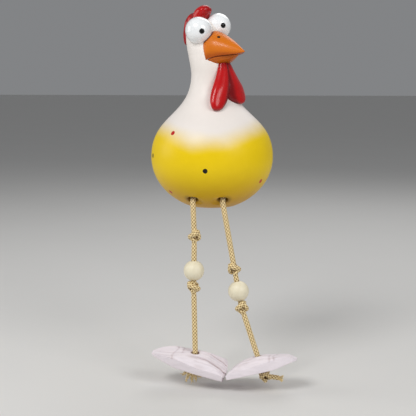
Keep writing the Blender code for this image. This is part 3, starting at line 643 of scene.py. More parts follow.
def skin(rings, caps=True):
    """Points and faces over rings of points, with a point closing each end."""
    rows, columns = rings.shape[:2]
    points = rings.reshape(-1, 3)
    faces = [tuple(quad) for quad in grid_faces(rows, columns, True).tolist()]
    if caps:
        points = np.vstack([points, rings[0].mean(axis=0), rings[-1].mean(axis=0)])
        first, last, base = len(points) - 2, len(points) - 1, (rows - 1) * columns
        for index in range(columns):
            after = (index + 1) % columns
            faces.append((first, after, index))
            faces.append((last, base + index, base + after))
    return points, faces


def place_all(points, matrix):
    """Points moved by a matrix."""
    table = np.array(matrix)
    return points @ table[:3, :3].T + table[:3, 3]


def circle(count):
    """Angles evenly round a circle."""
    return np.linspace(0.0, 2 * math.pi, count, endpoint=False)


def turned_rings(line, angles):
    """Rings about Z from the radii and heights of a line."""
    return np.array([np.stack([r * np.cos(angles), r * np.sin(angles), np.full(len(angles), z)],
                              axis=1) for r, z in line])


def link_object(name, data):
    """New object in the scene."""
    obj = bpy.data.objects.new(name, data)
    bpy.context.scene.collection.objects.link(obj)
    return obj


def set_mask(mesh, label, values):
    """Let a mesh carry a number at each of its points."""
    layer = mesh.attributes.get(label) or mesh.attributes.new(label, "FLOAT", "POINT")
    layer.data.foreach_set("value", np.asarray(values, dtype=np.float32))


def vertex_places(obj):
    """Points of an object's mesh."""
    return np.array([vertex.co for vertex in obj.data.vertices])


def smooth(obj, degrees):
    """Smooth shading with an edge kept at sharp corners."""
    obj.data.shade_smooth()
    obj.data.set_sharp_from_angle(angle=math.radians(degrees))


def build_object(name, points, faces, material, masks=None, sharp=50):
    """Closed smooth-shaded mesh object with its faces pointing out and numbers at its points."""
    mesh = bpy.data.meshes.new(name)
    mesh.from_pydata(points.tolist(), [], faces)
    for label, values in (masks or {}).items():
        set_mask(mesh, label, values)
    bm = bmesh.new()
    bm.from_mesh(mesh)
    bmesh.ops.recalc_face_normals(bm, faces=bm.faces)
    if bm.calc_volume(signed=True) < 0.0:
        bmesh.ops.reverse_faces(bm, faces=bm.faces)
    bm.to_mesh(mesh)
    bm.free()
    obj = link_object(name, mesh)
    if material:
        mesh.materials.append(material)
    smooth(obj, sharp)
    return obj


def join_parts(parts):
    """One list of points, faces and masks from several."""
    points, faces, masks, base = [], [], [], 0
    for part_points, part_faces, part_mask in parts:
        points.append(part_points)
        faces += [tuple(base + index for index in face) for face in part_faces]
        masks.append(part_mask)
        base += len(part_points)
    return np.vstack(points), faces, np.concatenate(masks)


def apply_modifiers(obj):
    """Turn an object's modifiers into its mesh."""
    bpy.context.view_layer.update()
    graph = bpy.context.evaluated_depsgraph_get()
    old = obj.data
    obj.data = bpy.data.meshes.new_from_object(obj.evaluated_get(graph))
    obj.modifiers.clear()
    bpy.data.meshes.remove(old)


def cut_with(obj, cutter):
    """Cut an object with another and remove the other."""
    modifier = obj.modifiers.new("cut", "BOOLEAN")
    modifier.operation = "DIFFERENCE"
    modifier.solver = "EXACT"
    modifier.object = cutter
    apply_modifiers(obj)
    bpy.data.objects.remove(cutter, do_unlink=True)


def trumpet(name, radius, rim, depth, below, matrix, stretch=1.0, shift=0.0):
    """Drill that flares at its mouth; stretch and shift widen and move the flare along X."""
    profile = [(radius, -below), (radius, -depth)]
    for step in range(1, 10):
        share = step / 9
        profile.append((radius + (rim - radius) * (1.0 - math.cos(share * math.pi / 2)),
                        -depth + depth * math.sin(share * math.pi / 2)))
    profile.append((rim + 0.003, 0.0025))
    angles = circle(64)
    rings = []
    for r, z in profile:
        flare = min(max((r - radius) / (rim - radius), 0.0), 1.0)
        wide = r * (1.0 + (stretch - 1.0) * flare)
        rings.append(np.stack([wide * np.cos(angles) + shift * flare, r * np.sin(angles),
                               np.full(64, z)], axis=1))
    points, faces = skin(np.array(rings))
    return build_object(name, place_all(points, matrix), faces, None)


def node_centre(node):
    """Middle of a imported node's box."""
    low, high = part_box(node)
    return (Vector(low) + Vector(high)) / 2


def pivot_of(joint):
    """Place of a hinge."""
    return Vector(JOINTS[joint]["pos_m"])


def finish_piece(obj, body, slot, *nodes):
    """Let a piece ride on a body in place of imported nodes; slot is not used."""
    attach(obj, body)
    if nodes:
        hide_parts(*nodes)


# ---------------------------------------------------------------- body

def belly_drop(inset=0.0, belly=BELLY_R):
    """Half height of the ellipse that rounds the body's lower half."""
    return BELLY_Z / math.sqrt(1.0 - (SEAT_R / belly) ** 2) - inset


def lower_line(body, bottom, inset, count):
    """Belly from its widest ring down to a height."""
    drop = belly_drop(inset, body.belly_radius)
    reach = math.asin((BELLY_Z - bottom) / drop)
    angles = np.linspace(0.0, reach, count + 1)[1:]
    return np.stack([(body.belly_radius - inset) * np.cos(angles),
                     BELLY_Z - drop * np.sin(angles)], axis=1)


def flank_line(body, inset, count):
    """Neck down to the belly's widest ring."""
    neck, belly = body.neck_radius - inset, body.belly_radius - inset
    return curve_line(((neck, NECK_Z), (neck, NECK_Z - NECK_HANDLE),
                       (belly, BELLY_Z + BELLY_HANDLE), (belly, BELLY_Z)), count)


def outer_line(body):
    """Outside of the body from the crown to the seat."""
    head = curve_line(((0.0, CROWN_Z), (CROWN_R, CROWN_Z), (CHEEK_R, NECK_Z + CHEEK_RISE),
                       (body.neck_radius, NECK_Z)), 36)
    return np.vstack([head[1:-1], flank_line(body, 0.0, 56), lower_line(body, 0.0, 0.0, 34)])


def body_radii(body):
    """Heights and radii of the body's outside, from the seat up."""
    line = outer_line(body)[::-1]
    return line[:, 1], line[:, 0]


def lean_head(points):
    """Stretch the head ahead and behind, lean it back and let the neck drift aside."""
    facing = np.array((math.sin(HEAD_TURN), -math.cos(HEAD_TURN), 0.0))
    height = points[:, 2]
    rise = smoothstep(NECK_Z, CROWN_Z, height)
    share = np.maximum((height - NECK_Z) / (CROWN_Z - NECK_Z), 0.0)
    shift = (points @ facing) * HEAD_STRETCH * share * share - HEAD_LEAN * rise
    moved = points + shift[:, None] * facing
    moved[:, 0] += NECK_DRIFT * smoothstep(DRIFT_FROM_Z, NECK_Z, height)
    return moved


def head_frame():
    """Frame of the head: -Y ahead, +X to the figure's left, heights as in the world."""
    return Matrix.Translation((NECK_DRIFT, 0.0, 0.0)) @ Matrix.Rotation(HEAD_TURN, 4, "Z")


def hole_frame(side):
    """Frame at a rope hole's mouth: Z out of the hole and X level across the belly."""
    hip = pivot_of("hip_swing_" + side)
    drop = belly_drop()
    normal = Vector((0.0, hip.y / BELLY_R ** 2, (HOLE_Z - BELLY_Z) / drop ** 2)).normalized()
    across = Vector((1.0, 0.0, 0.0))
    upright = normal.cross(across)
    turn = Matrix((across, upright, normal)).transposed().to_4x4()
    return Matrix.Translation(hip - normal * HIP_OUT) @ turn


class ChickenBodyOperator(bpy.types.Operator):
    """Hollow cast body with its neck, head, rope holes and painted dots"""

    bl_idname = "chicken.body"
    bl_label = "Body"

    def execute(self, context):
        """Turn the shell, lean the head, open the rope holes and paint it."""
        body = context.scene.chicken_body
        top = [((body.neck_radius - WALL) * 0.6, NECK_Z + NECK_CORE * 0.8)]
        inner = np.vstack([[(POUR_HOLE_R, 0.0), (POUR_HOLE_R, FLOOR)],
                           lower_line(body, FLOOR, WALL, 12)[::-1],
                           flank_line(body, WALL, 20)[::-1], top])
        line = np.vstack([outer_line(body), inner])
        points, faces = skin(turned_rings(line, circle(body.turns)))
        points = lean_head(points)
        points[-2, 2] = CROWN_Z
        points[-1, 2] = NECK_Z + NECK_CORE
        outside = len(outer_line(body)) * body.turns
        hollow = np.zeros(len(points))
        hollow[outside:-2] = 1.0
        hollow[-1] = 1.0
        obj = build_object("painted_body", points, faces, body_paint(body), {"hollow": hollow})
        for side in FEET:
            cut_with(obj, trumpet("rope_hole_" + side, HOLE_R, HOLE_RIM_R, HOLE_RIM_DEPTH, 0.012,
                                  hole_frame(side), 1.10, HOLE_RIM_SHIFT[side]))
        places = vertex_places(obj)
        shade = np.zeros(len(places))
        for side in FEET:
            mouth = hole_frame(side)
            local = place_all(places, mouth.inverted())
            near = np.linalg.norm(local[:, :2], axis=1)
            sunk = smoothstep(-0.0002, -0.0016, local[:, 2])
            shade = np.maximum(shade, smoothstep(0.0088, 0.0040, near) * sunk
                               * (local[:, 2] > -0.014))
        set_mask(obj.data, "rim_shade", shade)
        smooth(obj, 40)
        finish_piece(obj, "figure", "body_paint", "body_shell")
        plug = frame["nodes"]["base_plug"]
        plug.data.materials.clear()
        plug.data.materials.append(cork_material())
        return {"FINISHED"}


# ---------------------------------------------------------------- face

def eye_centre(side, head):
    """Centre of an eye; the head's roll lifts the left one."""
    sign = 1 if side == "left" else -1
    outward, back = EYE_SHIFT[side]
    lift = sign * EYE_X * math.sin(HEAD_ROLL)
    return head @ Vector((sign * (EYE_X + outward), EYE_BACK + back, EYE_Z + lift))


class ChickenEyesOperator(bpy.types.Operator):
    """Two bulging glossy eyes with domed black pupils"""

    bl_idname = "chicken.eyes"
    bl_label = "Eyes"

    def execute(self, context):
        """Turn each eye about its line of sight and set its pupil in."""
        face = context.scene.chicken_face
        head = head_frame()
        white = gloss_paint("eye_white", face.eye_white, face.eye_white, 60.0, 0.12, 1.0)
        black = gloss_paint("pupil_black", (0.003, 0.003, 0.003), (0.002, 0.002, 0.002), 60.0, 0.25,
                            0.0)
        angles = circle(72)
        for side, (turn, rise) in GAZE.items():
            centre = eye_centre(side, head)
            look = head.to_3x3() @ Vector((math.sin(turn) * math.cos(rise),
                                           -math.cos(turn) * math.cos(rise), math.sin(rise)))
            place = Matrix.Translation(centre) @ look.to_track_quat("Z", "Y").to_matrix().to_4x4()
            radius, pupil = face.eye_radius * EYE_SHARE[side], face.pupil_radius
            start = math.asin((pupil + 0.00035) / radius)
            arc = np.linspace(start, math.pi - 0.02, 54)
            line = [(pupil * 0.5, radius - PUPIL_DEPTH), (pupil + 0.0002, radius - PUPIL_DEPTH)]
            line += [(radius * math.sin(angle), radius * math.cos(angle)) for angle in arc]
            self.turned("eyeball_" + side, line, angles, place, white, "eye_white", "eye_" + side)
            dome = [(pupil * 0.35, radius + 0.00042), (pupil * 0.70, radius + 0.00026),
                    (pupil * 0.93, radius + 0.00002), (pupil, radius - 0.0002),
                    (pupil, radius - PUPIL_DEPTH)]
            self.turned("pupil_disc_" + side, dome, angles, place, black, "pupil_black",
                        "pupil_" + side)
        return {"FINISHED"}

    def turned(self, name, line, angles, place, material, slot, node):
        """Solid of revolution about the line of sight."""
        points, faces = skin(turned_rings(line, angles))
        points = place_all(points, place)
        if slot == "eye_white":
            head = head_frame()
            local = place_all(points, head.inverted())
            sign = 1 if node == "eye_left" else -1
            local[:, 0] = sign * np.maximum(local[:, 0] * sign, 0.00015)
            points = place_all(local, head)
        obj = build_object(name, points, faces, material, {"fold": np.zeros(len(points))})
        finish_piece(obj, "figure", slot, node)


def mouth_height(ahead):
    """Height of the mouth line at distances ahead of the neck's axis."""
    line = curve_line(MOUTH, 80)
    return np.interp(ahead, line[:, 0], line[:, 1])


def beak_half_width(ahead, width):
    """Half width of the beak, widest near its root."""
    share = np.maximum((ahead - BEAK_WIDEST) / (BEAK_TIP - BEAK_WIDEST), 0.0)
    return np.maximum(width * (1.0 - share ** 1.5), 0.0004)


class ChickenBeakOperator(bpy.types.Operator):
    """Upper beak with its ridge and nostrils, and the lower beak under the mouth line"""

    bl_idname = "chicken.beak"
    bl_label = "Beak"

    def execute(self, context):
        """Skin both halves and paint them."""
        face = context.scene.chicken_face
        head = head_frame()
        dark_red = (0.14, 0.012, 0.006)
        seams = [(eye_centre(side, head), face.eye_radius * EYE_SHARE[side] + 0.0004, 0.0013,
                  dark_red) for side in GAZE]
        for sign in (-1, 1):
            nostril = head @ Vector((sign * NOSTRIL[0], NOSTRIL[1], NOSTRIL[2]))
            seams.append((nostril, 0.0012, 0.0004, (0.004, 0.003, 0.002)))
        paint = gloss_paint("beak_paint", face.orange, face.orange_shade, 150.0, 0.40, 0.15, seams)
        self.upper(face, head, paint)
        self.lower(face, head, paint)
        return {"FINISHED"}

    def upper(self, face, head, paint):
        """Arched sections from the root to the rounded tip."""
        ridge = curve_line(RIDGE, 80)
        rings, folds = [], []
        for share in np.linspace(0.0, 1.0, 84):
            ahead = BEAK_START + (BEAK_TIP - BEAK_START) * (1.0 - (1.0 - share) ** 1.15)
            low = float(mouth_height(ahead)) + 0.0001
            top = max(float(np.interp(ahead, ridge[:, 0], ridge[:, 1])), low + 0.0007)
            width = float(beak_half_width(ahead, face.beak_width))
            arch = np.linspace(0.0, math.pi, 56)
            across = width * np.cos(arch) * (1.0 + 0.10 * np.sin(2 * arch) ** 2)
            height = low + (top - low) * np.sin(arch) ** 0.85
            back = np.linspace(-1.0, 1.0, 16)[1:-1]
            across = np.concatenate([across, width * 0.97 * back])
            height = np.concatenate([height, low + (top - low) * 0.10 * (1.0 - back ** 2)])
            # Painted shade: fold darkens the upper beak along its lower edges at the mouth line,
            # over its underside and at its root.
            edge = np.concatenate([bell(np.sin(arch), 0.0, 0.16), np.ones(14)])
            root = float(smoothstep(0.0075, 0.0025, ahead))
            rings.append(np.stack([across, np.full(len(across), -ahead), height], axis=1))
            folds.append(np.maximum(edge * 0.8, root * 0.55))
        rings = np.array(rings)
        for sign in (-1, 1):
            nostril = np.array((sign * NOSTRIL[0], NOSTRIL[1], NOSTRIL[2]))
            away = np.linalg.norm(rings - nostril, axis=2)
            sink = 0.0007 * np.exp(-(away / 0.0010) ** 2)
            rings[:, :, 0] -= sign * sink * 0.6
            rings[:, :, 2] -= sink * 0.8
        points, faces = skin(rings)
        fold = np.concatenate([np.array(folds).ravel(), [0.5, 0.0]])
        obj = build_object("upper_beak", place_all(points, head), faces, paint, {"fold": fold})
        finish_piece(obj, "figure", "beak_paint", "beak_upper")

    def lower(self, face, head, paint):
        """Trough-shaped sections, deepest and squarest at the chin."""
        rings, folds = [], []
        for ahead in np.linspace(BEAK_START, LOWER_TIP, 64):
            top = float(mouth_height(ahead)) - 0.0001
            taper = 1.0 - max((ahead - LOWER_CHIN) / (LOWER_TIP - LOWER_CHIN), 0.0) ** 1.6
            depth = max(face.beak_depth * taper, 0.0003)
            width = max(float(beak_half_width(ahead, face.beak_width)) * 0.95
                        * (0.35 + 0.65 * taper), 0.0004)
            arch = np.linspace(math.pi, 2 * math.pi, 40)
            square = np.sign(np.cos(arch)) * np.abs(np.cos(arch)) ** 0.8
            across = np.concatenate([width * square, width * np.linspace(1.0, -1.0, 12)[1:-1]])
            height = np.concatenate([top + depth * np.sin(arch), np.full(10, top)])
            # Painted shade: fold darkens the whole lower beak under the upper one, most along a
            # crease line and at the mouth line.
            crease = 0.5 * bell(-np.sin(arch), 0.42, 0.14) + bell(np.sin(arch), 0.0, 0.15)
            height[:40] += 0.0005 * bell(-np.sin(arch), 0.42, 0.14)
            rings.append(np.stack([across, np.full(len(across), -ahead), height], axis=1))
            folds.append(np.concatenate([np.maximum(crease, 0.38), np.ones(10)]))
        points, faces = skin(np.array(rings))
        fold = np.clip(np.concatenate([np.array(folds).ravel(), [1.0, 1.0]]), 0.0, 1.0)
        obj = build_object("lower_beak", place_all(points, head), faces, paint, {"fold": fold})
        finish_piece(obj, "figure", "beak_paint", "beak_lower")


class ChickenCombOperator(bpy.types.Operator):
    """Puffed red comb with a front lobe and a strip down the back of the head"""

    bl_idname = "chicken.comb"
    bl_label = "Comb"

    def execute(self, context):
        """Fill the outline with a fine plate, puff it up and round it."""
        face = context.scene.chicken_face
        closed = through(COMB_OUTLINE + COMB_OUTLINE[:1], 160)[:-1]
        curve = bpy.data.curves.new("comb_plate", "CURVE")
        curve.dimensions = "2D"
        curve.fill_mode = "BOTH"
        curve.extrude = face.comb_thickness / 2
        spline = curve.splines.new("POLY")
        spline.points.add(len(closed) - 1)
        for point, (x, y) in zip(spline.points, closed):
            point.co = (x, y, 0.0, 1.0)
        spline.use_cyclic_u = True
        plate = link_object("comb_plate", curve)
        bpy.context.view_layer.update()
        graph = bpy.context.evaluated_depsgraph_get()
        mesh = bpy.data.meshes.new_from_object(plate.evaluated_get(graph))
        bpy.data.objects.remove(plate, do_unlink=True)
        bm = bmesh.new()
        bm.from_mesh(mesh)
        bmesh.ops.remove_doubles(bm, verts=bm.verts, dist=0.00001)
        bm.to_mesh(mesh)
        bm.free()
        obj = link_object("red_comb", mesh)
        remesh = obj.modifiers.new("even", "REMESH")
        remesh.mode = "VOXEL"
        remesh.voxel_size = 0.00065
        apply_modifiers(obj)
        fold = self.puff(obj, closed, face.comb_thickness)
        soften = obj.modifiers.new("round", "SMOOTH")
        soften.factor = 0.5
        soften.iterations = 9
        apply_modifiers(obj)
        set_mask(obj.data, "fold", fold)
        finer = obj.modifiers.new("finer", "SUBSURF")
        finer.levels = 1
        finer.render_levels = 1
        apply_modifiers(obj)
        stand = Matrix(((0, 0, 1, 0), (1, 0, 0, 0), (0, 1, 0, 0), (0, 0, 0, 1)))
        obj.data.transform(head_frame() @ stand)
        obj.data.materials.clear()
        obj.data.materials.append(
            gloss_paint("comb_paint", face.red, face.red_shade, 160.0, 0.26, 0.22))
        obj.data.shade_smooth()
        finish_piece(obj, "figure", "red_paint", "comb")
        return {"FINISHED"}

    def puff(self, obj, outline, thickness):
        """Pull the plate's faces in towards its outline and cut soft ridges down the back."""
        points = vertex_places(obj)
        away = np.full(len(points), 1.0)
        for first, second in zip(outline, np.roll(outline, -1, axis=0)):
            line = second - first
            along = np.clip(((points[:, :2] - first) @ line) / (line @ line), 0.0, 1.0)
            gap = points[:, :2] - first - along[:, None] * line
            away = np.minimum(away, np.linalg.norm(gap, axis=1))
        inside = np.clip(away / (thickness * 0.38), 0.0, 1.0)
        bulge = np.sqrt(1.0 - (1.0 - inside) ** 2)
        lobe = 1.0 - 0.42 * smoothstep(0.0140, 0.0205, points[:, 0])
        waist = bell(points[:, 0] - 0.35 * (points[:, 1] - 0.168), 0.0182, 0.0014)
        slope = points[:, 0] * 0.8 - points[:, 1] * 0.15
        ridges = 0.5 + 0.5 * np.cos(slope * 2 * math.pi / RIDGE_SPACING)
        strip = smoothstep(0.0185, 0.0225, points[:, 0])
        depth = 1.0 - 0.16 * waist - 0.10 * ridges * strip
        points[:, 2] = np.sign(points[:, 2]) * thickness / 2 * bulge * lobe * depth
        obj.data.vertices.foreach_set("co", points.ravel())
        # Painted shade: fold darkens the crease between the front lobe and the rear strip, the
        # grooves of the strip and the comb's edges.
        fold = 0.85 * waist + 0.55 * ridges * strip + bell(inside, 0.0, 0.30) * 0.35
        return np.clip(fold, 0.0, 1.0)


class ChickenWattlesOperator(bpy.types.Operator):
    """Two glossy red wattles that hang from the chin"""

    bl_idname = "chicken.wattles"
    bl_label = "Wattles"

    def execute(self, context):
        """Skin each lobe from the chin to its curled tip."""
        face = context.scene.chicken_face
        paint = gloss_paint("wattle_paint", face.red, face.red_shade, 110.0, 0.26, 0.22)
        for side, (swing, fall, fat, move) in WATTLE_CURL.items():
            sign = 1 if side == "left" else -1
            rows = through(WATTLE_ROWS, 64)
            bend = np.linspace(0.0, 1.0, len(rows)) ** 2.4
            turn = circle(48)
            rings, folds = [], []
            for index, (ahead, aside, height, half_width, half_thick) in enumerate(rows):
                tip = index / (len(rows) - 1)
                lean = 0.0012 * math.sin(tip * math.pi) * sign
                across = (sign * (aside + move + swing * bend[index])
                          + half_width * fat * np.cos(turn))
                deep = -ahead - half_thick * np.sin(turn) + lean * np.cos(turn)
                groove = bell(np.cos(turn) * sign, -0.55, 0.22) * (np.sin(turn) > 0)
                deep += 0.0006 * groove * math.sin(tip * math.pi)
                drop = height - fall * bend[index]
                rings.append(np.stack([across, deep, np.full(len(turn), drop)], axis=1))
                # Painted shade: fold darkens each lobe on its inner side towards the other lobe,
                # under the chin at its root, in its groove and at its tip.
                inner = smoothstep(0.15, 0.95, -np.cos(turn) * sign)
                root = float(smoothstep(0.30, 0.0, tip))
                folds.append(np.clip(0.75 * inner + 0.9 * root + 0.35 * groove
                                     + 0.35 * bell(tip, 1.0, 0.05), 0.0, 1.0))
            points, faces = skin(np.array(rings))
            fold = np.concatenate([np.array(folds).ravel(), [1.0, 0.5]])
            obj = build_object("red_wattle_" + side, place_all(points, head_frame()), faces, paint,
                               {"fold": fold}, 80)
            finish_piece(obj, "figure", "red_paint", "wattle_" + side)
        return {"FINISHED"}


# ---------------------------------------------------------------- ropes

def carried_frames(points):
    """Two directions across a line at each of its points, without twist."""
    tangents = np.gradient(points, axis=0)
    tangents /= np.linalg.norm(tangents, axis=1)[:, None]
    start = np.cross(tangents[0], (0.0, 1.0, 0.2))
    normal = start / np.linalg.norm(start)
    normals = []
    for tangent in tangents:
        normal = normal - tangent * (normal @ tangent)
        normal = normal / np.linalg.norm(normal)
        normals.append(normal)
    normals = np.array(normals)
    return normals, np.cross(tangents, normals)


def swept(line, reach, turn):
    """Points and faces round a line, at a reach for each ring or each point of a ring."""
    normals, others = carried_frames(line)
    return skin(line[:, None, :] + reach[:, :, None] * (
        np.cos(turn)[None, :, None] * normals[:, None, :]
        + np.sin(turn)[None, :, None] * others[:, None, :]))


def rounding(away, radius):
    """Share of the radius at a distance from a rounded end."""
    return np.sqrt(np.clip(1.0 - (1.0 - away / radius) ** 2, 0.02, 1.0) * (away < radius)
                   + (away >= radius))


def braided(points, radius, strands, round_start=False, round_end=False, around=46):
    """Braided cord along a line: strands of two hands that pass over and under each other."""
    line = np.array([tuple(point) for point in points], dtype=float)
    length = float(np.linalg.norm(np.diff(line, axis=0), axis=1).sum())
    count = max(int(length / 0.00030), 4)
    line = through(line, count)
    along = np.linspace(0.0, length, count)
    turn = circle(around)
    spacing = 2 * math.pi * radius / strands
    across, down = np.meshgrid(turn * strands / (2 * math.pi), along / spacing)
    one, other = across + down, across - down
    over = np.where((np.floor(one) + np.floor(other)) % 2 == 0, 1.0, -1.0)
    one_part, other_part = one - np.floor(one), other - np.floor(other)
    first = np.sqrt(np.maximum(1.0 - (2 * one_part - 1) ** 2, 0.0)) * 0.62
    second = np.sqrt(np.maximum(1.0 - (2 * other_part - 1) ** 2, 0.0)) * 0.62
    first += over * 0.38 * np.sin(math.pi * other_part)
    second -= over * 0.38 * np.sin(math.pi * one_part)
    crest = np.clip(np.maximum(first, second), 0.0, 1.0)
    taper = np.ones(count)
    if round_start:
        taper = np.minimum(taper, rounding(along, radius))
    if round_end:
        taper = np.minimum(taper, rounding(length - along, radius))
    reach = (radius * (0.74 + 0.26 * crest)) * taper[:, None]
    skin_points, faces = swept(line, reach, turn)
    return skin_points, faces, np.concatenate([crest.ravel(), [0.5, 0.5]])


def strand(points, radius, seed):
    """Thin loose strand along a line, narrowing at its tip."""
    line = through(points, 14)
    reach = radius * (1.0 - 0.45 * np.linspace(0.0, 1.0, 14) ** 3)
    points, faces = swept(line, reach[:, None], circle(7))
    tone = 0.75 + 0.25 * random.Random(seed).random()
    return points, faces, np.full(len(points), tone)


def knot_parts(rope, name, centre, above, below, scale=1.0, tail=None):
    """Wraps of an overhand knot, and the rope that leaves it below."""
    degrees, hand = KNOT_TURNS[name]
    axis = (above + below).normalized()
    side = axis.cross(Vector((0.0, 1.0, 0.0))).normalized()
    back = side.cross(axis)
    turn = Matrix.Rotation(math.radians(degrees), 3, "Z")
    radius = rope.radius * rope.knot_share * scale
    wraps = []
    for x, y, z in KNOT_WRAPS:
        local = turn @ Vector((hand * x, y, 0.0))
        wraps.append(centre + (side * local.x + back * local.y - axis * z) * radius * 1.02)
    points, faces, crest = braided(wraps, radius, rope.strands, True, True)
    away = np.linalg.norm(points - np.array(tuple(centre)), axis=1) / radius
    # Painted shade: the crest mask is lowered towards the knot's middle, so the inner wraps are
    # darker.
    parts = [(points, faces, crest * (0.50 + 0.50 * smoothstep(1.2, 2.3, away)))]
    if tail:
        parts.append(braided([centre, (centre + tail) / 2, tail], rope.radius * 0.94,
                             rope.strands, False, True))
    return parts


def rope_object(name, parts, material):
    """Mesh object from pieces of rope."""
    points, faces, crest = join_parts(parts)
    return build_object(name, points, faces, material, {"crest": crest}, 80)


class ChickenRopesOperator(bpy.types.Operator):
    """Braided rope legs with their overhand knots and frayed ends"""

    bl_idname = "chicken.ropes"
    bl_label = "Rope legs"

    def execute(self, context):
        """Lay the rope of each leg from knot to knot."""
        rope = context.scene.chicken_rope
        material = rope_material(rope)
        for side in FEET:
            self.leg(rope, side, material)
        return {"FINISHED"}

    def leg(self, rope, side, material):
        """One leg, from the stop knot inside the body to the frayed end under the foot."""
        hip, splay, knee, ankle = [pivot_of(joint + side) for joint in
                                   ("hip_swing_", "leg_splay_", "knee_bend_", "ankle_rock_")]
        stop, upper, lower, end = [node_centre(node + side) for node in
                                   ("stop_knot_", "knot_upper_", "knot_lower_", "end_knot_")]
        out = (hip - stop).normalized()
        first = (upper - hip).normalized()
        second = (lower - splay).normalized()
        third = (ankle - knee).normalized()
        fourth = (end - ankle).normalized()
        before = rope.radius * ROPE_TUCK
        thigh_line = [hip - first * before, upper]
        knee_line = [splay - second * before, lower]
        shin_line = [knee - third * before, ankle + third * ROPE_RUN_ON]
        end_line = [ankle - fourth * before, end]
        tied_at = end + Vector(END_KNOT_SHIFT[side])
        lay, tie = self.stretch, self.knot
        given = (rope, side, material)
        root = lay(given, "root", "figure", [stop, hip + out * ROPE_RUN_ON], 0.94, False, True)
        tied = tie(given, "stop", "figure", stop, out, out)
        thigh = lay(given, "thigh", "thigh", thigh_line, 1.0, True, False)
        top = tie(given, "upper", "thigh", upper, first, second, tail=splay + second * ROPE_RUN_ON)
        middle = lay(given, "knee", "knee", knee_line, 1.0, True, False)
        bottom = tie(given, "lower", "knee", lower, second, third, tail=knee + third * ROPE_RUN_ON)
        shin = lay(given, "shin", "shin", shin_line, 1.0, True, True)
        last = lay(given, "end", "ankle", end_line, 0.97, True, False)
        under = tie(given, "end", "ankle", tied_at, fourth, fourth, 0.90)
        frayed = self.fray(rope, side, tied_at, material)
        finish_piece(frayed, "ankle_" + side, "leg_rope", "frayed_end_" + side)

        inner = [root, tied, top]
        if (knee_line[1] - knee_line[0]).length < SHORTEST_CORD:
            inner.append(middle)
        self.declare(rope, thigh, thigh_line, hip, "knot", inner)
        if middle not in inner:
            self.declare(rope, middle, knee_line, splay, "knot", [])
        self.declare(rope, shin, shin_line, knee, "object", [bottom, last, under, frayed])

    def declare(self, rope, piece, line, start, far_end, others):
        """Takes a stretch of the leg rope and does nothing with it."""

    def finish(self, name, parts, given, body, node):
        """One piece of rope on its body."""
        side, material = given[1:]
        obj = rope_object(name, parts, material)
        finish_piece(obj, body if body == "figure" else f"{body}_{side}", "leg_rope", node)
        return obj

    def stretch(self, given, part, body, line, share, round_start, round_end):
        """Straight length of braided rope, at a share of the rope's radius."""
        rope, side = given[:2]
        points = [line[0].lerp(line[1], step) for step in (0.0, 0.25, 0.5, 0.75, 1.0)]
        laid = braided(points, rope.radius * share, rope.strands, round_start, round_end)
        return self.finish(f"braided_{part}_{side}", [laid], given, body, f"rope_{part}_{side}")

    def knot(self, given, part, body, centre, above, below, scale=1.0, tail=None):
        """Tightened overhand knot as one piece."""
        node = f"{KNOT_NODES[part]}_{given[1]}"
        parts = knot_parts(given[0], node, centre, above, below, scale, tail)
        return self.finish("tied_" + node, parts, given, body, node)

    def fray(self, rope, side, end, material):
        """Short braided tail that opens into loose strands."""
        chance = random.Random(11 if side == "left" else 5)
        parts = []
        if side == "right":
            for index, (x, y, z) in enumerate(FRAY_STRANDS):
                aim = Vector((x, y, z))
                foot = end + aim * 0.3 + Vector((0.0, 0.0, -0.0015))
                middle = end + aim * 0.7 + Vector((0.0, 0.0, -0.0008))
                tip = end + aim + Vector((0.0, 0.0, -0.0026))
                points, faces, crest = braided([foot, middle, tip], rope.radius * 0.60, 3,
                                               False, True, 24)
                parts.append((points, faces, 0.45 + 0.55 * crest))
                for hair in range(5):
                    spread = Vector([chance.uniform(-0.001, 0.001) for _ in range(3)])
                    parts.append(strand([tip - aim * 0.1, tip + spread * 0.5 + aim * 0.05,
                                         tip + spread * 1.6 + aim * 0.16], 0.0003, index + hair))
            return rope_object("frayed_strands_right", parts, material)
        away = Vector((0.97, -0.12, -0.06)).normalized()
        start = end + away * 0.0035
        tip = start + away * 0.0078
        parts.append(braided([start, start.lerp(tip, 0.5), tip], rope.radius * 0.90, rope.strands))
        for index in range(30):
            spread = Vector([chance.uniform(-1.0, 1.0) for _ in range(3)])
            spread -= away * spread.dot(away)
            foot = tip + spread * rope.radius * 0.45 - away * 0.001
            length = chance.uniform(0.0024, 0.0044)
            bend = spread * chance.uniform(0.0008, 0.0022)
            middle = foot + away * (0.001 + length * 0.5) + bend * 0.35
            far = foot + away * (0.001 + length) + bend * 1.25
            parts.append(strand([foot, middle, far], chance.uniform(0.00028, 0.00050), index))
        return rope_object("frayed_strands_" + side, parts, material)


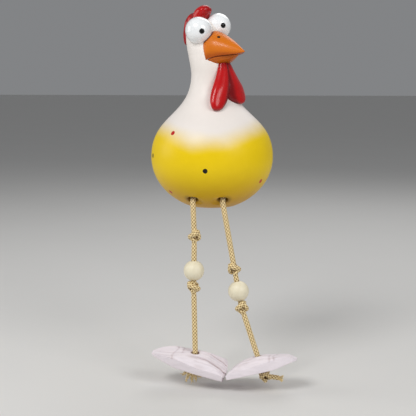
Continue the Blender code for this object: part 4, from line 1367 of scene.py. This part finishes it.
class ChickenBeadsOperator(bpy.types.Operator):
    """Pale wooden beads with softened bores"""

    bl_idname = "chicken.beads"
    bl_label = "Beads"

    def execute(self, context):
        """Turn each bead about its rope."""
        settings = context.scene.chicken_foot
        wood = bead_material(settings)
        radius, bore, soften = settings.bead_radius, 0.0028, 0.0006
        for side in FEET:
            direction = Vector(JOINTS["bead_slide_" + side]["axis"])
            place = (Matrix.Translation(node_centre("bead_" + side))
                     @ direction.to_track_quat("Z", "Y").to_matrix().to_4x4())
            reach = math.acos((bore + soften) / radius)
            line = [(radius * math.cos(angle), radius * math.sin(angle))
                    for angle in np.linspace(reach, -reach, 60)]
            top = radius * math.sin(reach)
            for step in range(1, 7):
                angle = step / 6 * math.pi / 2
                line.append((bore + soften * (1.0 - math.sin(angle)),
                             -top + soften * (1.0 - math.cos(angle)) * 1.2))
            bores = len(line)
            for height in np.linspace(-top + 0.0015, top - 0.0015, 6):
                line.append((bore, height))
            for step in range(5, 0, -1):
                angle = step / 6 * math.pi / 2
                line.append((bore + soften * (1.0 - math.sin(angle)),
                             top - soften * (1.0 - math.cos(angle)) * 1.2))
            rings = turned_rings(line + line[:1], circle(96))
            points, faces = skin(rings, False)
            # Painted shade mask for the rings inside the bore and round its softened edges.
            dark = np.zeros(len(rings))
            dark[bores - 3:bores + 9] = 1.0
            obj = build_object("wooden_bead_" + side, place_all(points, place), faces, wood,
                               {"bore": np.repeat(dark, 96)})
            bm = bmesh.new()
            bm.from_mesh(obj.data)
            bmesh.ops.remove_doubles(bm, verts=bm.verts, dist=0.000001)
            bmesh.ops.recalc_face_normals(bm, faces=bm.faces)
            bm.to_mesh(obj.data)
            bm.free()
            finish_piece(obj, "bead_" + side, "bead_wood", "bead_" + side)
        return {"FINISHED"}


# ---------------------------------------------------------------- feet

def foot_frame(side):
    """Frame at the foot's underside below the bore: X to the toes, Z up along the bore."""
    foot = FEET[side]
    tilt = Matrix.Rotation(math.radians(-foot["side"] * foot["toes_down"]), 4, "Y")
    roll = Matrix.Rotation(math.radians(foot["front_down"]), 4, "X")
    yaw = Matrix.Rotation(math.radians(foot["yaw"]), 4, "Z")
    ankle = pivot_of("foot_spin_" + side)
    return (Matrix.Translation(ankle) @ tilt @ roll @ yaw
            @ Matrix.Translation((0.0, 0.0, -FOOT_THICKNESS)))


class ChickenFeetOperator(bpy.types.Operator):
    """Cast feet with three toes, carved lines and a countersunk bore"""

    bl_idname = "chicken.feet"
    bl_label = "Feet"

    def execute(self, context):
        """Carve each foot and set it under its ankle."""
        paint = foot_material(context.scene.chicken_foot)
        for side in FEET:
            points, faces, recess_shade = self.carve(FEET[side])
            place = foot_frame(side)
            obj = build_object("carved_foot_" + side, place_all(points, place), faces, paint,
                               {"recess_shade": recess_shade}, 38)
            mouth = place @ Matrix.Translation((0.0, 0.0, FOOT_THICKNESS))
            cut_with(obj, trumpet("bore_" + side, FOOT_BORE_R, FOOT_RIM_R, 0.0022, 0.030, mouth))
            self.shade_bore(obj, mouth)
            smooth(obj, 38)
            finish_piece(obj, "foot_" + side, "foot_paint", "foot_" + side)
        return {"FINISHED"}

    def shade_bore(self, obj, mouth):
        """Add painted shade inside the bore and at its rim."""
        places = vertex_places(obj)
        local = place_all(places, mouth.inverted())
        near = np.linalg.norm(local[:, :2], axis=1)
        values = np.zeros(len(places), dtype=np.float32)
        obj.data.attributes["recess_shade"].data.foreach_get("value", values)
        set_mask(obj.data, "recess_shade", np.maximum(values, smoothstep(0.0046, 0.0031, near)))

    def carve(self, foot):
        """Points, faces and painted-shade mask of one foot, before its bore."""
        heel, reach, front = foot["heel"], foot["reach"], foot["side"]
        half = FOOT_HALF_WIDTH
        top_across = np.linspace(-1.0, 1.0, 81)
        bottom_across = np.linspace(1.0, -1.0, 25)
        widths = ([-heel, -heel * 0.90, -heel * 0.45, reach * 0.20, reach * 0.80, reach],
                  [0.0035, 0.0075, 0.0125, half * 0.95, half, half])
        toe_front = ([0.0, 0.10, 0.30, 0.40, 0.50, 0.66, 0.93, 1.0],
                     [0.985, 1.0, 1.0, 0.88, 0.98, 0.99, 0.98, 0.95])
        toe_back = ([0.0, 0.10, 0.30, 0.40, 0.52, 0.80, 0.92, 1.0],
                    [0.985, 1.0, 1.0, 0.88, 0.97, 0.94, 0.92, 0.89])
        rings, masks = [], []
        for share in 0.5 - 0.5 * np.cos(np.linspace(0.0, math.pi, 120)):
            ring, mask = [], []
            for across, is_top in ((top_across, True), (bottom_across, False)):
                on_front = across * front > 0.0
                toe = np.where(on_front, np.interp(np.abs(across), *toe_front),
                               np.interp(np.abs(across), *toe_back))
                x = -heel + share * (toe * reach + heel)
                middle = -heel + share * (reach + heel)
                width = float(np.interp(middle, *widths))
                notch = 0.0006 * (~on_front) * float(smoothstep(0.010, 0.0115, middle))
                y = across * (width - notch)
                height = self.top_height(x, y, heel, reach, foot["heel_top"])
                groove, lines = self.carved_lines(x, across, share, heel, foot["seed"])
                if is_top:
                    z = height - groove - lines
                    claw = 0.6 * float(smoothstep(0.985, 1.0, share)) * (
                        bell(across, 0.40, 0.05) + bell(across, -0.40, 0.05))
                    # Painted shade: the mask darkens the toe grooves, the carved lines and facets,
                    # and the notches at the toe tips.
                    mask.append(np.clip(groove / 0.0021 + lines / 0.0015 + claw, 0.0, 1.0))
                else:
                    edge = 1.0 - np.abs(across) ** 6
                    z = (0.0005 * edge * bell(across, 0.0, 0.7)
                         + 0.0030 * smoothstep(-heel * 0.30, -heel, x))
                    # Painted shade over the whole underside.
                    mask.append(np.full(len(across), 0.25))
                ring.append(np.stack([x, y, z], axis=1))
            walls = [self.wall(ring[0][-1], ring[1][0]), self.wall(ring[1][-1], ring[0][0])]
            rings.append(np.vstack([ring[0], walls[0], ring[1], walls[1]]))
            masks.append(np.concatenate([mask[0], np.full(3, 0.05), mask[1], np.full(3, 0.05)]))
        points, faces = skin(np.array(rings))
        recess_shade = np.concatenate([np.array(masks).ravel(), [0.1, 0.5]])
        return points, faces, recess_shade

    def wall(self, start, end):
        """Three points down a side wall, bulging a little."""
        shares = np.array((0.15, 0.5, 0.88))[:, None]
        points = start + (end - start) * shares
        points[:, 1] *= 1.0 + 0.012 * np.sin(shares[:, 0] * math.pi)
        return points

    def top_height(self, x, y, heel, reach, heel_top):
        """Height of the foot's top: low heel, hump over the bore, sloping toes, domed across."""
        top = FOOT_THICKNESS
        side = np.interp(x, [-heel * 1.1, -heel, -heel * 0.80, -heel * 0.20, reach * 0.12,
                             reach * 0.42, reach * 0.82, reach],
                         [top * 0.28 * heel_top, top * 0.36 * heel_top, top * 0.66 * heel_top,
                          top * (0.5 + 0.5 * heel_top), top, top * 0.88, top * 0.50,
                          top * 0.20])
        dome = np.interp(np.abs(y) / FOOT_HALF_WIDTH, [0.0, 0.30, 0.62, 1.1],
                         [top * 1.02, top * 1.02, top * 0.80, FOOT_EDGE])
        soft = 0.0007
        return -soft * np.log(np.exp(-side / soft) + np.exp(-dome / soft)) + soft * 0.15

    def carved_lines(self, x, across, share, heel, seed):
        """Depth of the toe grooves and of the finer carved lines and facets."""
        run = float(smoothstep(0.52, 0.80, share))
        groove = 0.0013 * run * (bell(across, 0.40, 0.055) + bell(across, -0.40, 0.055))
        run_long = float(smoothstep(0.50, 0.62, share))
        lines = 0.00022 * run_long * (bell(across, 0.16, 0.03) + bell(across, -0.14, 0.03)
                                      + bell(across, 0.66, 0.03) + bell(across, -0.70, 0.03))
        crease = 0.00045 * bell(x, -heel * 0.46 + 0.0012 * np.sin(across * 3.0), 0.0007)
        step = 0.0004 * bell(x, -0.0105, 0.0009) * (across > -0.2)
        facets, fine = [
            np.array([noise.noise(Vector((float(px) * ahead, float(a) * aside, seed * layer)))
                      for px, a in zip(x, across)])
            for ahead, aside, layer in ((70.0, 3.2, 7.0), (160.0, 9.0, 3.0))]
        lines = lines + crease + step + 0.00070 * np.maximum(facets, 0.0) + 0.00016 * np.abs(fine)
        return groove, lines


# ---------------------------------------------------------------- stage

class ChickenStageOperator(bpy.types.Operator):
    """Pale floor, soft studio light and the camera"""

    bl_idname = "chicken.stage"
    bl_label = "Stage"

    def execute(self, context):
        """Lay the floor, set the lights and aim the camera."""
        stage = context.scene.chicken_stage
        context.scene.view_settings.view_transform = "Standard"
        self.floor(stage)
        self.lights(stage)
        data = bpy.data.cameras.new("camera")
        data.lens = stage.lens
        data.sensor_width = 36.0
        data.sensor_fit = "HORIZONTAL"
        data.clip_start = 0.01
        data.clip_end = 100.0
        camera = link_object("camera", data)
        camera.location = (0.1037, -0.8154, 0.1135)
        camera.rotation_euler = (math.radians(81.94), 0.0, math.radians(7.5))
        context.scene.camera = camera
        return {"FINISHED"}

    def floor(self, stage):
        """Plain matte floor just under the lowest strand."""
        material, tree, shader, place = start_material("pale_floor")
        tint(tree, shader, stage.floor, uneven(tree, place, 6.0, 0.04))
        set_shader(shader, Roughness=0.85)
        low = CAD_BOX[0][2] - 0.0012
        mesh = bpy.data.meshes.new("floor")
        mesh.from_pydata([(-12, -12, low), (12, -12, low), (12, 12, low), (-12, 12, low)], [],
                         [(0, 1, 2, 3)])
        mesh.materials.append(material)
        link_object("floor", mesh)

    def lights(self, stage):
        """Large soft key from the upper left, a fill, a light from behind and pale surroundings."""
        world = bpy.data.worlds.new("surroundings")
        bpy.context.scene.world = world
        world.use_nodes = True
        shade = world.node_tree.nodes["Background"]
        shade.inputs["Color"].default_value = rgba(stage.sky)
        shade.inputs["Strength"].default_value = 0.25
        for name, place, size, power in (
                ("key", (-0.45, -0.85, 0.95), 0.50, stage.key_power),
                ("fill", (0.85, -0.75, 0.65), 0.60, stage.key_power * 0.72),
                ("side", (-1.00, -0.10, 0.30), 0.50, stage.key_power * 0.25),
                ("back", (0.20, 0.90, 0.90), 0.80, stage.key_power * 0.45)):
            data = bpy.data.lights.new(name, "AREA")
            data.shape = "SQUARE"
            data.size = size
            data.energy = power
            light = link_object(name, data)
            light.location = place
            aim = Vector((0.0, -0.02, 0.03)) - Vector(place)
            light.rotation_euler = aim.to_track_quat("-Z", "Y").to_euler()


# ---------------------------------------------------------------- panel and registration

class ChickenPanel(bpy.types.Panel):
    """Settings and pieces of the shelf-sitter chicken"""

    bl_idname = "VIEW3D_PT_chicken"
    bl_label = "Shelf-sitter chicken"
    bl_space_type = "VIEW_3D"
    bl_region_type = "UI"
    bl_category = "Chicken"

    def draw(self, context):
        """List each group of settings and the button of each piece."""
        layout = self.layout
        for group in SETTINGS:
            box = layout.box()
            settings = getattr(context.scene, group)
            for name in settings.__annotations__:
                box.prop(settings, name)
        for operator in OPERATORS:
            layout.operator(operator.bl_idname)


SETTINGS = {
    "chicken_body": ChickenBodySettings, "chicken_face": ChickenFaceSettings,
    "chicken_rope": ChickenRopeSettings, "chicken_foot": ChickenFootSettings,
    "chicken_stage": ChickenStageSettings,
}
OPERATORS = (
    ChickenStageOperator, ChickenBodyOperator, ChickenEyesOperator, ChickenBeakOperator,
    ChickenCombOperator, ChickenWattlesOperator, ChickenRopesOperator, ChickenBeadsOperator,
    ChickenFeetOperator,
)
GROUPS = (build_dot_group, build_mottle_group, build_brush_group, build_fade_group,
          build_ring_group)


def register():
    """Register the settings, operators and panel."""
    for kind in (*SETTINGS.values(), *OPERATORS, ChickenPanel):
        bpy.utils.register_class(kind)
    for name, kind in SETTINGS.items():
        setattr(bpy.types.Scene, name, PointerProperty(type=kind))


def unregister():
    """Remove them again."""
    for name in SETTINGS:
        delattr(bpy.types.Scene, name)
    for kind in (ChickenPanel, *reversed(OPERATORS), *SETTINGS.values()):
        bpy.utils.unregister_class(kind)


def main():
    """Build every piece in order."""
    register()
    for build in GROUPS:
        build()
    for operator in OPERATORS:
        getattr(bpy.ops.chicken, operator.bl_idname.split(".")[1])()
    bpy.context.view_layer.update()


if __name__ == "__main__":
    main()
